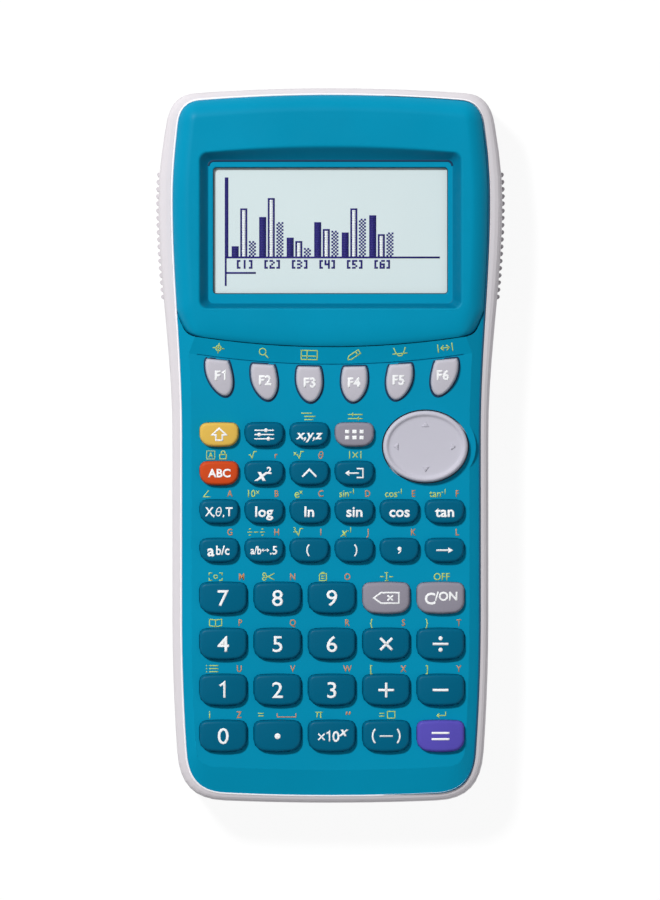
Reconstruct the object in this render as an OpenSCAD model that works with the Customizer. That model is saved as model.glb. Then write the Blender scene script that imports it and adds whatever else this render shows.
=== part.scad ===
// Graphing calculator: two shells, a display, 46 keys and a cursor pad on a rubber dome sheet,
// a circuit board, four cells behind a hooked cover, and the screws that hold it together.
// Millimetres. It lies on its back: z = 0 is the table, the keys face +Z and the display end
// points along +Y. The origin is under the middle of the body.

/* [Small keys] */
// Width of a small key's cap
small_key_w = 9; // [8:0.1:9.3]
// Height of a small key's cap, along the body
small_key_h = 5.5; // [4.8:0.1:6.2]
// Distance between small keys across the body
small_pitch_x = 10.58; // [10.5:0.02:11.2]
// Distance between rows of small keys
small_pitch_y = 9.05; // [8.4:0.05:9.8]

/* [Large keys] */
// Width of a large key's cap
large_key_w = 11; // [10:0.1:11.4]
// Height of a large key's cap, along the body
large_key_h = 7.3; // [6.4:0.1:8]
// Distance between large keys across the body
large_pitch_x = 12.75; // [12.6:0.05:13.2]
// Distance between rows of large keys
large_pitch_y = 10.8; // [10:0.02:11.8]

/* [Function keys] */
// Width of a function key at its flat upper edge
f_key_w = 5.2; // [5:0.1:6.2]
// Length of a function key from its flat edge to its tip
f_key_h = 8.2; // [7.4:0.1:8.8]
// How far the tip of the outermost function key leans towards the middle
f_key_lean = 2.5; // [0:0.05:3]
// Turn of the outermost function key's flat edge, in degrees
f_key_turn = 5.5; // [0:0.5:7]
// From the crease to a function key's flat edge
f_key_drop = 0.65; // [0.4:0.05:0.8]
// Distance between function keys across the body
f_key_pitch = 10.75; // [10.5:0.05:11]

/* [All keys] */
// Clearance between a key and the opening that it moves in
key_gap = 0.2; // [0.15:0.05:0.3]
// How far a key stands above the face
key_rise = 1.7; // [1.2:0.1:2.2]
// How far a key goes down
key_travel = 0.7; // [0.4:0.05:0.8]
// Rounding of a key's upper edges
key_edge = 0.6; // [0.3:0.05:0.9]
// Radius of the crown over a key's cap
key_crown = 38; // [25:1:60]
// Radius of a key's two upper corners, seen from above
key_high_corner = 1.5; // [0.8:0.1:2]
// Radius of a key's two lower corners, seen from above
key_low_corner = 2.7; // [1.6:0.1:2.8]
// Radius of the bow of a key's upper edge, seen from above
key_high_bow = 55; // [40:1:90]
// Radius of the bow of a key's lower edge, seen from above
key_low_bow = 24; // [20:1:40]
// How far a key's retaining flange reaches past its cap
flange_reach = 0.5; // [0.4:0.05:0.6]
// Thickness of the retaining flange
flange_t = 0.5; // [0.4:0.05:0.7]
// Clearance between the flange and the underside of the face
flange_gap = 0.3; // [0.2:0.05:0.4]

/* [Cursor pad] */
// From the body's middle to the pad's middle
pad_across = 22.3; // [22:0.1:22.8]
// From the highest small row's middle down to the pad's middle
pad_below_row = 2.8; // [2.2:0.1:3.4]
// Width of the cursor pad
pad_w = 19.9; // [18:0.1:20.6]
// Height of the cursor pad, along the body
pad_h = 16.8; // [15:0.1:17.4]
// Width of the pad's raised rim
pad_rim = 1.1; // [0.7:0.1:1.6]
// Depth of the pad's dish below its rim
pad_dish = 0.55; // [0.3:0.05:0.8]
// Radius of the ball that the pad rocks on
pivot_r = 1.2; // [1:0.05:1.4]
// Clearance round that ball
pivot_gap = 0.15; // [0.1:0.05:0.25]
// How far the pad's flange hangs below the keys' flanges, so that it can tilt
pad_drop = 0.2; // [0.1:0.05:0.25]
// Width of the low surround moulded round the pad
surround_w = 1.9; // [1.2:0.1:2.4]

/* [Places on the body] */
// Middle of the keyboard, from the body's middle
keys_across = 0.35; // [-0.5:0.05:0.5]
// From the lower end to the middle of the lowest row of keys
end_to_row = 15.82; // [15:0.02:20]
// From the highest large row's middle to the lowest small row's
between_blocks = 11.2; // [10:0.1:13]
// From the highest small row's middle to the crease under the slanted band
row_to_crease = 16.45; // [16:0.05:20]
// Width of the slanted band, from the crease to the bezel's lip
band_w = 4.2; // [3.4:0.1:6]
// From the bezel's lip to the lower edge of the display recess
lip_to_recess = 8.8; // [8:0.1:12]
// From the upper edge of the display recess to the upper end
recess_to_end = 13.6; // [12:0.1:18]

/* [Outline] */
// From the outermost small key to the edge of the face
face_margin = 4; // [3.4:0.05:6]
// Width of the pale rim along the waist
rim_w = 2.2; // [2:0.05:3]
// Width of the pale rim at the lower end
low_rim_w = 1.8; // [1.6:0.05:3]
// Width of the pale rim at the upper end
high_rim_w = 1.6; // [1.4:0.05:3]
// How far each grip swells past the waist
grip_swell = 3.3; // [1.5:0.1:4.5]
// How far the face swells with the grip
face_swell = 2.2; // [1:0.1:2.6]
// From the upper end to the widest place of the grips
end_to_grip = 26; // [22:0.5:32]
// Length over which a grip falls away to the waist
grip_run_low = 56; // [46:1:64]
// Length over which a grip would fall away towards the upper end
grip_run_high = 33; // [30:1:40]
// Length of the taper at the lower end
taper_length = 44; // [34:1:50]
// Radius of that taper's sweep
taper_radius = 460; // [300:10:600]
// Length of each lower corner along both its sides
low_corner = 11; // [9:0.25:13]
// Length of each upper corner along both its sides
high_corner = 7.1; // [6.5:0.1:9]
// How full the corners are: 0.7 is a circle's fullness
corner_weight = 1.1; // [0.7:0.05:1.5]
// Bulge of the lower end
low_crown = 1.1; // [0.3:0.1:1.5]
// Bulge of the upper end
high_crown = 1.7; // [0.8:0.1:2.4]
// Radius of the crease and the lip, which share one centre
lip_radius = 205; // [180:1:260]

/* [Face] */
// Thickness of the face
face_t = 1.4; // [1.1:0.1:1.6]
// Height of the face above the rim
face_drop = 1.2; // [0.8:0.1:1.6]
// Width of the sloped edge along each side
side_slope = 2.3; // [1.6:0.1:3]
// Width of the sloped edge at the lower end
end_slope = 6; // [4:0.25:7]
// Height of the slanted band at the lip
band_rise = 0.9; // [0.5:0.1:1.3]
// Width of the groove along the crease
groove_w = 0.3; // [0.2:0.05:0.5]
// Depth of that groove
groove_depth = 0.25; // [0.15:0.05:0.4]
// Half the angle that the groove spans about the lip's centre
groove_span = 8.6; // [7:0.1:9]
// Depth of the casing's skirt inside the rim
skirt_depth = 4.2; // [3:0.1:5]
// Thickness of that skirt
skirt_t = 1.5; // [1.2:0.1:1.8]

/* [Display] */
// Width of the display recess
recess_w = 61.9; // [60:0.1:64]
// Height of the display recess, along the body
recess_h = 38.4; // [37:0.1:41]
// Depth of the display recess
recess_depth = 2.6; // [2:0.1:2.8]
// Bulge of the recess's upper edge
recess_crown = 1.4; // [0.5:0.1:2]
// Width of the clear opening
view_w = 55.1; // [52:0.1:56]
// Height of the clear opening
view_h = 29.7; // [28:0.1:30.5]
// From the recess's lower edge to the clear opening
view_low = 3.6; // [3:0.1:4.5]
// Width of the flat ledge beside the clear opening
view_ledge = 1.1; // [0.8:0.1:1.5]
// Width of the ledge above the clear opening
high_ledge = 1.6; // [1.2:0.1:2.2]
// Width of the ledge below the clear opening
low_ledge = 2.2; // [1.6:0.1:2.4]
// Thickness of that ledge
ledge_t = 0.4; // [0.4:0.1:0.6]
// Thickness of the display window
window_t = 0.6; // [0.5:0.1:0.8]
// How far the window reaches under the ledge
window_lap = 1.2; // [0.8:0.1:1.6]
// Width of the bezel's sloped sides
bezel_slope = 3.3; // [2.4:0.1:4]
// Height of the bezel's step at the lip
lip_step = 0.5; // [0.3:0.1:0.8]
// Length of the bezel's slope above the lip
lip_slope = 5.2; // [4:0.2:6]
// Clearance between the bezel and the slanted band
lip_gap = 0.15; // [0.1:0.05:0.25]
// Height of the bezel's lower corners, where the lip turns up to the sides
bezel_corner = 8.6; // [6:0.2:9]
// Thickness of the LCD panel's glass
lcd_glass_t = 1; // [0.9:0.1:1.2]
// Thickness of the LCD panel's backing
lcd_back_t = 0.9; // [0.8:0.1:1.1]
// How far the LCD's glass reaches past the clear opening
glass_margin = 1.6; // [1.2:0.1:2]
// How far the LCD's backing reaches past its glass
back_margin = 2.6; // [2:0.1:3]

/* [Back] */
// Height of the feet
foot_t = 0.6; // [0.4:0.1:1]
// Radius of a foot
foot_r = 3.6; // [2.5:0.1:4]
// Thickness of the back
back_t = 2; // [1.7:0.1:2.4]
// Rounding of the back's edge
back_round = 3.2; // [2:0.1:4]
// From the widest place of the grips down to the middle of their ribs
grip_to_ribs = 8.65; // [6:0.05:12]
// Number of grip ribs on each side
ribs = 18; // [12:1:20]
// Distance between grip ribs
rib_pitch = 1.69; // [1.5:0.01:1.8]
// Radius of a grip rib
rib_r = 0.5; // [0.35:0.05:0.55]
// How far a grip rib stands out
rib_out = 0.6; // [0.3:0.05:0.7]
// From the cells' bay down to the restart hole
restart_below = 12; // [10:0.5:16]
// Radius of the restart hole
restart_r = 0.8; // [0.5:0.1:1.2]

/* [Cells and cover] */
// From the crease down to the cells' bay
crease_to_bay = 32; // [30:0.5:33]
// Diameter of a cell
cell_d = 10.5; // [10:0.1:10.6]
// Length of a cell with its button
cell_l = 44.5; // [43:0.5:45]
// Distance between cells
cell_pitch = 10.9; // [10.8:0.05:11.1]
// Free space beside the row of cells
bay_gap = 0.4; // [0.2:0.1:0.6]
// Space for a contact spring
spring_space = 3.4; // [3:0.1:4]
// Space for a contact plate
plate_space = 1.4; // [1.2:0.1:1.8]
// Thickness of the bay's walls
bay_wall = 1.2; // [0.9:0.1:1.5]
// Thickness of the bay's roof
bay_roof = 0.6; // [0.5:0.1:0.8]
// Thickness of the battery cover
cover_t = 1.2; // [1:0.1:1.4]
// How far the cover reaches past the bay
cover_lap = 1.4; // [1:0.1:1.8]
// Clearance round the cover
cover_gap = 0.2; // [0.15:0.05:0.3]
// Width of a cover hook
hook_w = 6; // [4:0.5:8]
// Middle of each cover hook, from the cover's middle
hook_x = 14; // [10:0.5:17]
// How far each hook reaches over the floor beyond the cover
hook_reach = 0.9; // [0.6:0.1:1.2]
// Width of the cover's latch
latch_w = 11; // [8:0.5:14]
// Half width of the finger notch beside the latch
notch_r = 8; // [6:0.5:9]

/* [Inside] */
// From the middle to the screws at the lower end
low_screw_x = 27.5; // [26:0.1:28.5]
// From the lower end to those screws
low_screw_in = 6.8; // [6.4:0.1:7.4]
// From the middle to the screws beside the small keys
mid_screw_x = 31.2; // [30.8:0.1:31.6]
// From the highest small row up to those screws
mid_screw_up = 6.9; // [6.4:0.1:7.6]
// From the middle to the screws at the upper end
high_screw_x = 30.8; // [29:0.1:31.5]
// From the upper end to those screws
high_screw_in = 8.4; // [8:0.1:10]
// From the middle to the feet at the lower end
low_foot_x = 28; // [24:0.5:29]
// From the lower end to those feet
low_foot_in = 17; // [15:0.5:22]
// From the middle to the feet at the upper end
high_foot_x = 32; // [26:0.5:32]
// From the upper end to those feet
high_foot_in = 19; // [17:0.5:24]
// From the middle to the board's supports at the lower end
low_post_x = 22; // [18:0.5:23]
// From the lower end to those supports
low_post_in = 10; // [9:0.5:13]
// From the middle to the board's supports beside the chips
high_post_x = 24; // [22:0.5:26]
// From the lower end to those supports
high_post_in = 45; // [40:0.5:50]
// Radius of a support
post_r = 1.6; // [1.2:0.1:2]
// Thickness of the circuit board
board_t = 0.8; // [0.6:0.1:1]
// Clearance between the board and the skirt
board_gap = 0.5; // [0.3:0.1:1]
// Width of the processor under the board
processor_w = 12; // [8:0.5:14]
// Width of the memory beside it
memory_w = 8; // [6:0.5:9]
// From the middle to the memory
memory_x = 10; // [9:0.5:11]
// From the lower end to both chips
chips_in = 17; // [15:0.5:22]
// Thickness of both chips
chip_t = 1.4; // [0.9:0.1:1.8]
// Width of the restart switch
switch_w = 6; // [5:0.5:7]
// Height of the restart switch
switch_t = 3; // [2.4:0.1:3.5]
// Thickness of the rubber sheet
sheet_t = 0.5; // [0.4:0.1:0.6]
// Height of a rubber dome
dome_h = 0.8; // [0.75:0.05:1]
// Radius of a rubber dome at its foot
dome_r = 2.1; // [1.6:0.1:2.3]
// Radius of a screw's shank
screw_r = 1; // [0.8:0.1:1.2]
// Radius of a screw's head
screw_head_r = 2.1; // [1.8:0.1:2.3]
// Thickness of a screw's head
screw_head_t = 1.3; // [1:0.1:1.6]
// Height at which the screw heads seat
screw_seat_z = 4.6; // [4:0.1:5]
// Length of a screw under its head
screw_l = 7.4; // [7:0.1:8]
// Radius of the face's screw bosses
boss_r = 2.5; // [2.2:0.1:2.7]
// Height at which the upper and lower bosses meet
boss_meet_z = 8; // [7:0.1:9]
// Clearance round bosses, screws and sockets where they pass through
pass_gap = 0.3; // [0.2:0.05:0.35]

/* [Sockets] */
// Width of the USB socket
usb_w = 7.7; // [7.5:0.1:8]
// Height of the USB socket
usb_h = 3.9; // [3.5:0.1:4]
// Middle of the USB socket, from the body's middle
usb_x = 12; // [9:0.5:16]
// Radius of the three-pole jack's hole
jack_r = 1.3; // [1.25:0.05:1.35]
// Radius of the jack's round nose
jack_nose_r = 2.6; // [2.2:0.1:2.8]
// Middle of the jack, from the body's middle
jack_x = -12; // [-16:0.5:-9]
// Depth of both sockets
socket_depth = 9; // [8:0.5:11]

/* [Hidden] */
KEY_ROWS = [
    ["key_shift", "key_option", "key_variable", "key_menu"],
    ["key_alpha", "key_square", "key_power", "key_exit"],
    ["key_variable_x", "key_log", "key_ln", "key_sin", "key_cos", "key_tan"],
    ["key_fraction", "key_convert", "key_open_bracket", "key_close_bracket",
        "key_comma", "key_store"],
    ["key_7", "key_8", "key_9", "key_delete", "key_on_clear"],
    ["key_4", "key_5", "key_6", "key_multiply", "key_divide"],
    ["key_1", "key_2", "key_3", "key_plus", "key_minus"],
    ["key_0", "key_point", "key_exponent", "key_negative", "key_execute"]
];
F_KEYS = ["key_f1", "key_f2", "key_f3", "key_f4", "key_f5", "key_f6"];

$fn = 48;
SMALL_ROWS = 4;
eps = 0.01;

TEAL = [0.01, 0.53, 0.67];
DEEP_TEAL = [0.02, 0.38, 0.5];
PALE = [0.88, 0.86, 0.88];
LILAC_GREY = [0.76, 0.74, 0.79];
MID_GREY = [0.58, 0.56, 0.61];

// Along the body
body_length = end_to_row + 3 * large_pitch_y + between_blocks + 3 * small_pitch_y
    + row_to_crease + band_w + lip_to_recess + recess_h + recess_to_end;
low_y = -body_length / 2;
high_y = body_length / 2;
low_row_y = low_y + end_to_row;
high_row_y = low_row_y + 3 * large_pitch_y + between_blocks + 3 * small_pitch_y;
crease_y = high_row_y + row_to_crease;
lip_y = crease_y + band_w;
arc_centre_y = lip_y + lip_radius;
recess_y = lip_y + lip_to_recess;
view_y = recess_y + view_low;
grip_y = high_y - end_to_grip;
taper_y = low_y + taper_length;

// Across the body
small_columns = 6;
large_columns = 5;
face_half = (small_columns - 1) / 2 * small_pitch_x + small_key_w / 2 + face_margin;
waist_half = face_half + rim_w;

// Up through the body
back_z = foot_t + back_t;
cover_z = foot_t + cover_t;
cell_gap = 0.15;
cell_z = cover_z + cell_gap + cell_d / 2;
roof_z = cell_z + cell_d / 2 + 0.05;
board_z = roof_z + bay_roof;
sheet_z = board_z + board_t;
key_z = sheet_z + sheet_t + dome_h;
under_z = key_z + flange_t + flange_gap;
face_z = under_z + face_t;
rim_z = face_z - face_drop;
glass_z = sheet_z + lcd_back_t;
deck_z = glass_z + lcd_glass_t + 0.1;
ledge_z = deck_z + window_t;
bezel_z = ledge_z + ledge_t + recess_depth;
skirt_z = rim_z - skirt_depth;
lip_z = face_z + band_rise + lip_step;

// Cursor pad
pad_x = pad_across;
pad_y = high_row_y - pad_below_row;
pivot_z = key_z - 0.1;

// Battery bay, in the upper half of the back
bay_half = 1.5 * cell_pitch + cell_d / 2 + bay_gap;
bay_l = cell_l + spring_space + plate_space;
bay_low = crease_y - crease_to_bay;
bay_high = bay_low + bay_l;
restart_y = bay_low - restart_below;

// Screws: two at the lower end, two beside the upper small keys, two at the upper end
SCREWS = [for (side = [-1, 1]) each [
    [side * low_screw_x, low_y + low_screw_in],
    [side * mid_screw_x, high_row_y + mid_screw_up],
    [side * high_screw_x, high_y - high_screw_in]
]];
FEET = [for (side = [-1, 1]) each [
    [side * low_foot_x, low_y + low_foot_in],
    [side * high_foot_x, high_y - high_foot_in]
]];
POSTS = [for (side = [-1, 1]) each [
    [side * low_post_x, low_y + low_post_in],
    [side * high_post_x, low_y + high_post_in]
]];

function row_y(row) = row < SMALL_ROWS
    ? high_row_y - row * small_pitch_y
    : low_row_y + (7 - row) * large_pitch_y;
function row_pitch(row) = row < SMALL_ROWS ? small_pitch_x : large_pitch_x;
function row_columns(row) = row < SMALL_ROWS ? small_columns : large_columns;
function key_place(row, column) =
    [keys_across + (column - (row_columns(row) - 1) / 2) * row_pitch(row), row_y(row)];
function key_width(row) = row < SMALL_ROWS ? small_key_w : large_key_w;
function key_height(row) = row < SMALL_ROWS ? small_key_h : large_key_h;

// A function key's place: its flat edge hangs just under the crease
function f_key_x(n) = keys_across + (n - 2.5) * f_key_pitch;
function crease_at(x) = crease_y + lip_radius - sqrt(pow(lip_radius, 2) - x * x);
function f_key_side(n) = (n - 2.5) / 2.5;

// Half width of the body or the face at a place along it
function half_width(waist, swell, y) =
    waist
    + swell * (1 + cos(180 * min(1, abs(y - grip_y)
        / (y > grip_y ? grip_run_high : grip_run_low)))) / 2
    - pow(max(0, taper_y - y), 2) / (2 * taper_radius);

end_steps = 5;
corner_steps = 8;
side_steps = 24;

// Where the line through p along u crosses the line through q along v
function crossing(p, u, q, v) = p + u * cross(q - p, v) / cross(u, v);

// Round corner that leaves p along u and reaches q along v
function rounded(p, u, q, v) =
    let (c = crossing(p, u, q, v))
    [for (i = [0:corner_steps]) let (
        t = i / corner_steps,
        a = pow(1 - t, 2),
        b = 2 * t * (1 - t) * corner_weight,
        d = t * t
    ) (a * p + b * c + d * q) / (a + b + d)];

// Outline with crowned ends, round corners and swelling sides, counterclockwise
function outline(waist, swell, low, high, low_r, high_r) =
    let (
        side = function(y) [half_width(waist, swell, y), y],
        low_side = side(low + low_crown + low_r),
        high_side = side(high - high_crown - high_r),
        xl = low_side.x - low_r,
        xh = high_side.x - high_r,
        low_end = function(x) [x, low + low_crown * pow(x / low_side.x, 2)],
        high_end = function(x) [x, high - high_crown * pow(x / high_side.x, 2)],
        right = concat(
            [for (i = [1:end_steps - 1]) low_end(xl * i / end_steps)],
            rounded(low_end(xl), low_end(xl + eps) - low_end(xl),
                low_side, side(low_side.y + eps) - low_side),
            [for (i = [1:side_steps - 1])
                side(low_side.y + (high_side.y - low_side.y) * i / side_steps)],
            rounded(high_side, side(high_side.y - eps) - high_side,
                high_end(xh), high_end(xh + eps) - high_end(xh)),
            [for (i = [1:end_steps - 1]) high_end(xh * (1 - i / end_steps))]
        ),
        count = len(right)
    )
    concat([[0, low]], right, [[0, high]],
        [for (i = [1:count]) [-right[count - i].x, right[count - i].y]]);

// The body's outline, a distance inside its edge
function body_outline(inset) = outline(waist_half - inset, grip_swell, low_y + inset,
    high_y - inset, low_corner - 1.2 * inset, high_corner - 1.2 * inset);

// The face's outline, with its own inset at the sides, the lower end and the upper end
function face_outline(side, low, high) = outline(
    face_half - side, face_swell, low_y + low_rim_w + low, high_y - high_rim_w - high,
    max(1.5, low_corner - low_rim_w - 0.6 * (side + low)), high_face_corner(side, high));
function high_face_corner(side, high) =
    max(1.2, high_corner - high_rim_w - 0.6 * (side + high));

// A ring of points between two outlines
function between(outer, inner, share) =
    [for (i = [0:len(outer) - 1]) outer[i] * (1 - share) + inner[i] * share];

// Closed solid through a stack of outlines, each with its height
module loft(rings) {
    n = len(rings[0][0]);
    k = len(rings);
    polyhedron(
        points = [for (ring = rings) for (p = ring[0]) [p.x, p.y, ring[1]]],
        faces = concat(
            [[for (i = [0:n - 1]) i]],
            [for (j = [0:k - 2]) for (i = [0:n - 1]) let (a = j * n, b = (i + 1) % n)
                each [[a + i, a + n + i, a + n + b], [a + i, a + n + b, a + b]]],
            [[for (i = [0:n - 1]) k * n - 1 - i]]
        )
    );
}

module slab(low, high) {
    translate([-body_length / 2, low_y, low]) cube([body_length, body_length, high - low]);
}

module prism(points, low, high) {
    translate([0, 0, low]) linear_extrude(high - low) polygon(points);
}

function arc(x, y, r, from, steps = 3) =
    [for (i = [0:steps]) let (a = from + 90 * i / steps) [x + r * cos(a), y + r * sin(a)]];
function bow(x, r) = r - sqrt(r * r - x * x);

// Plan of a key: bowed edges, small upper corners and fuller lower ones
function key_plan(w, h, grow = 0) =
    let (
        a = w / 2 + grow,
        b = h / 2 + grow,
        high_r = key_high_corner + grow,
        low_r = key_low_corner + grow,
        xh = a - high_r,
        xl = a - low_r,
        yh = b - bow(xh, key_high_bow) - high_r,
        yl = low_r + bow(xl, key_low_bow) - b
    )
    concat(
        [for (i = [-2:2]) [xl * i / 3, bow(xl * i / 3, key_low_bow) - b]],
        arc(xl, yl, low_r, 270), arc(xh, yh, high_r, 0),
        [for (i = [2:-1:-2]) [xh * i / 3, b - bow(xh * i / 3, key_high_bow)]],
        arc(-xh, yh, high_r, 90), arc(-xl, yl, low_r, 180)
    );

// Section that rounds off a cap's upper edges, with the cap's foot at height 0
module edge_section(width, height) {
    half = width / 2;
    edge_z = height - bow(half, key_crown);
    crown_z = height - bow(half - key_edge, key_crown);
    side = [
        [half + 0.5, -1], [half + 0.5, edge_z - key_edge - 1],
        [half - 0.27 * key_edge, edge_z - 0.46 * key_edge], [half - key_edge, crown_z]
    ];
    polygon(concat(side, [[0, height + 1]], [for (i = [1:4]) [-side[4 - i].x, side[4 - i].y]]));
}

// A key's cap with a crowned top, and the flange that keeps it under the face
module cap(w, h, rise) {
    height = face_z - key_z + rise;
    translate([0, 0, key_z]) {
        intersection() {
            linear_extrude(height + 1) polygon(key_plan(w, h));
            translate([0, 0, height - key_crown]) sphere(key_crown, $fn = 160);
            rotate([90, 0, 0]) linear_extrude(h * 3, center = true) edge_section(w, height);
            rotate([90, 0, 90]) linear_extrude(w * 3, center = true) edge_section(h, height);
        }
        linear_extrude(flange_t) polygon(key_plan(w, h, flange_reach));
    }
}

module key(row, column) {
    translate(key_place(row, column)) cap(key_width(row), key_height(row), key_rise);
}

// Shield: a flat edge at y = 0, sides that swell and then close to a tip, leaning sideways.
// shield_bulge widens its waist, and shield_fall rounds its lower end.
shield_bulge = 0.7;
shield_fall = 3.4;
function shield(w, h, lean, grow) =
    let (
        steps = 9,
        half = w / 2 + grow,
        length = h + 2 * grow,
        side = [for (i = [0:steps]) let (u = sin(90 * i / steps))
            [half * (1 + shield_bulge * u * (1 - u)) * sqrt(max(0, 1 - pow(u, shield_fall))),
                grow - length * u]],
        leaned = function(p) [p.x + lean * pow(max(0, -p.y) / h, 1.3), p.y]
    )
    concat(
        [[half - 0.45, grow]],
        [for (i = [0:steps]) let (p = i == 0 ? [half, grow - 0.45] : side[i]) leaned(p)],
        [for (i = [1:steps]) let (j = steps - i, p = j == 0 ? [half, grow - 0.45] : side[j])
            leaned([-p.x, p.y])],
        [[0.45 - half, grow]]
    );

module at_f_key(n) {
    x = f_key_x(n);
    translate([x, crease_at(x) - f_key_drop]) rotate(f_key_turn * f_key_side(n)) children();
}

module f_plan(n, grow = 0) {
    polygon(shield(f_key_w, f_key_h, -f_key_lean * f_key_side(n), grow));
}

module f_key(n) {
    height = face_z - key_z + key_rise;
    at_f_key(n) {
        intersection() {
            translate([0, 0, key_z]) linear_extrude(height + 1) f_plan(n);
            translate([0, 0, key_z + height - key_crown]) sphere(key_crown, $fn = 160);
        }
        translate([0, 0, key_z]) linear_extrude(flange_t) f_plan(n, flange_reach);
    }
}

// Oval disc of the pad's proportions, grown by a margin
module pad_oval(grow = 0) {
    scale([pad_w / 2 + grow, pad_h / 2 + grow, 1]) circle(1, $fn = 96);
}

module front_envelope() {
    slope = 2 * face_drop;
    loft([
        [face_outline(0, 0, 0), skirt_z],
        [face_outline(0, 0, 0), rim_z],
        [face_outline(side_slope, end_slope, side_slope), face_z],
        [face_outline(2 * side_slope, end_slope * 1.8, 2 * side_slope), face_z + slope / 2]
    ]);
}

// Outline of the bezel: the arched lip, corners that turn up to the sides, and the face's
// upper end. It has its own inset at the sides, the lip and the upper end, and bend_weight
// tightens the bend of its lower corners.
bend_weight = 2.2;
function bezel_outline(side, low, high) =
    let (
        high_r = high_face_corner(side, high),
        end_y = high_y - high_rim_w - high,
        edge = function(y) [half_width(face_half, face_swell, y) - side, y],
        ys = lip_y + bezel_corner + low / 2,
        high_side = edge(end_y - high_crown - high_r),
        xs = edge(ys).x,
        xh = high_side.x - high_r,
        high_end = function(x) [x, end_y - high_crown * pow(x / high_side.x, 2)],
        xe = xs - bezel_corner / 2,
        lip = function(x) arc_centre_y - sqrt(pow(lip_radius - low, 2) - x * x),
        bend = [xs - 2.1, lip(xe) + 0.6],
        turn = function(t) (pow(1 - t, 2) * [xe, lip(xe)] + 2 * t * (1 - t) * bend_weight * bend
            + t * t * [xs, ys]) / (pow(1 - t, 2) + 2 * t * (1 - t) * bend_weight + t * t),
        right = concat(
            [for (i = [1:5]) [xe * i / 6, lip(xe * i / 6)]],
            [for (i = [0:5]) turn(i / 5)],
            [for (i = [1:13]) edge(ys + (high_side.y - ys) * i / 14)],
            rounded(high_side, edge(high_side.y - eps) - high_side,
                high_end(xh), high_end(xh + eps) - high_end(xh)),
            [for (i = [1:end_steps - 1]) high_end(xh * (1 - i / end_steps))]
        ),
        count = len(right)
    )
    concat([[0, lip(0)]], right, [[0, end_y]],
        [for (i = [1:count]) [-right[count - i].x, right[count - i].y]]);

// Roof that climbs away from the crease, turned about the lip's centre
module band_roof() {
    rise = band_rise / band_w;
    far = 30;
    translate([0, arc_centre_y, 0]) rotate([0, 0, -120]) rotate_extrude(angle = 60, $fn = 360)
        polygon([
            [lip_radius - far, skirt_z], [lip_radius + band_w, skirt_z],
            [lip_radius + band_w, face_z], [lip_radius - far, face_z + rise * (far + band_w)]
        ]);
}

// Groove along the crease, over the function keys
module crease_groove() {
    crease_r = lip_radius + band_w;
    translate([0, arc_centre_y, face_z - groove_depth]) rotate([0, 0, -90 - groove_span])
        rotate_extrude(angle = 2 * groove_span, $fn = 360)
            translate([crease_r - groove_w / 2, 0]) square([groove_w, groove_depth + band_rise]);
}

module front_casing() {
    color(TEAL) difference() {
        union() {
            intersection() {
                front_envelope();
                slab(skirt_z - 1, face_z);
            }
            difference() {
                intersection() {
                    front_envelope();
                    band_roof();
                }
                prism(bezel_outline(-lip_gap, -lip_gap, -lip_gap), deck_z, bezel_z);
            }
            prism(bezel_outline(0.1, 0, 0.1), rim_z - 1, deck_z);
            // low surround of the cursor pad
            intersection() {
                translate([pad_x, pad_y, rim_z - 1]) linear_extrude(face_drop + 1)
                    pad_oval(surround_w);
                prism(face_outline(0.2, 0.1, 0.1), rim_z - 1, face_z);
            }
        }
        // the deck under the bezel is lower than the face
        prism(bezel_outline(-lip_gap, -lip_gap, -lip_gap), deck_z, bezel_z);
        crease_groove();
        // hollow inside the skirt, up to the face and up to the deck
        prism(face_outline(skirt_t, skirt_t, skirt_t), skirt_z - 1, glass_z + 0.1);
        difference() {
            prism(face_outline(skirt_t, 2 * skirt_t, skirt_t), glass_z, under_z);
            prism(bezel_outline(0, 0, 0), glass_z - 1, bezel_z);
        }
        sockets_way(pass_gap);
        for (row = [0:7]) for (column = [0:len(KEY_ROWS[row]) - 1])
            translate([each key_place(row, column), under_z - 1]) linear_extrude(6)
                polygon(key_plan(key_width(row), key_height(row), key_gap));
        for (n = [0:5]) at_f_key(n)
            translate([0, 0, under_z - 1]) linear_extrude(6) f_plan(n, key_gap);
        translate([pad_x, pad_y, under_z - 1]) linear_extrude(6) pad_oval(key_gap + 0.1);
        // opening for the display's glass
        translate([-view_w / 2 - glass_margin - pass_gap, view_y - glass_margin - pass_gap, 5])
            cube([view_w + 2 * glass_margin + 2 * pass_gap,
                view_h + 2 * glass_margin + 2 * pass_gap, 20]);
    }
    color(TEAL) for (p = SCREWS) translate([p.x, p.y, boss_meet_z]) difference() {
        cylinder(h = (p.y > lip_y ? deck_z - face_t / 2 : (under_z + rim_z) / 2) - boss_meet_z,
            r = boss_r);
        translate([0, 0, -1]) cylinder(h = screw_l + 1, r = screw_r + 0.05);
    }
}

// Rounded rectangle with a crowned upper edge, counterclockwise from its lower left corner
function recess_outline(w, low, high, r, crown) =
    let (
        half = w / 2 - r,
        steps = 4,
        corner = function(x, y, a) [for (i = [0:steps]) let (b = a + 90 * i / steps)
            [x + r * cos(b), y + r * sin(b)]]
    )
    concat(
        corner(-half, low + r, 180), corner(half, low + r, 270),
        corner(half, high - crown - r, 0),
        [for (i = [1:5]) let (t = 1 - i / 3) [half * t, high - crown * t * t]],
        corner(-half, high - crown - r, 90)
    );

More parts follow.
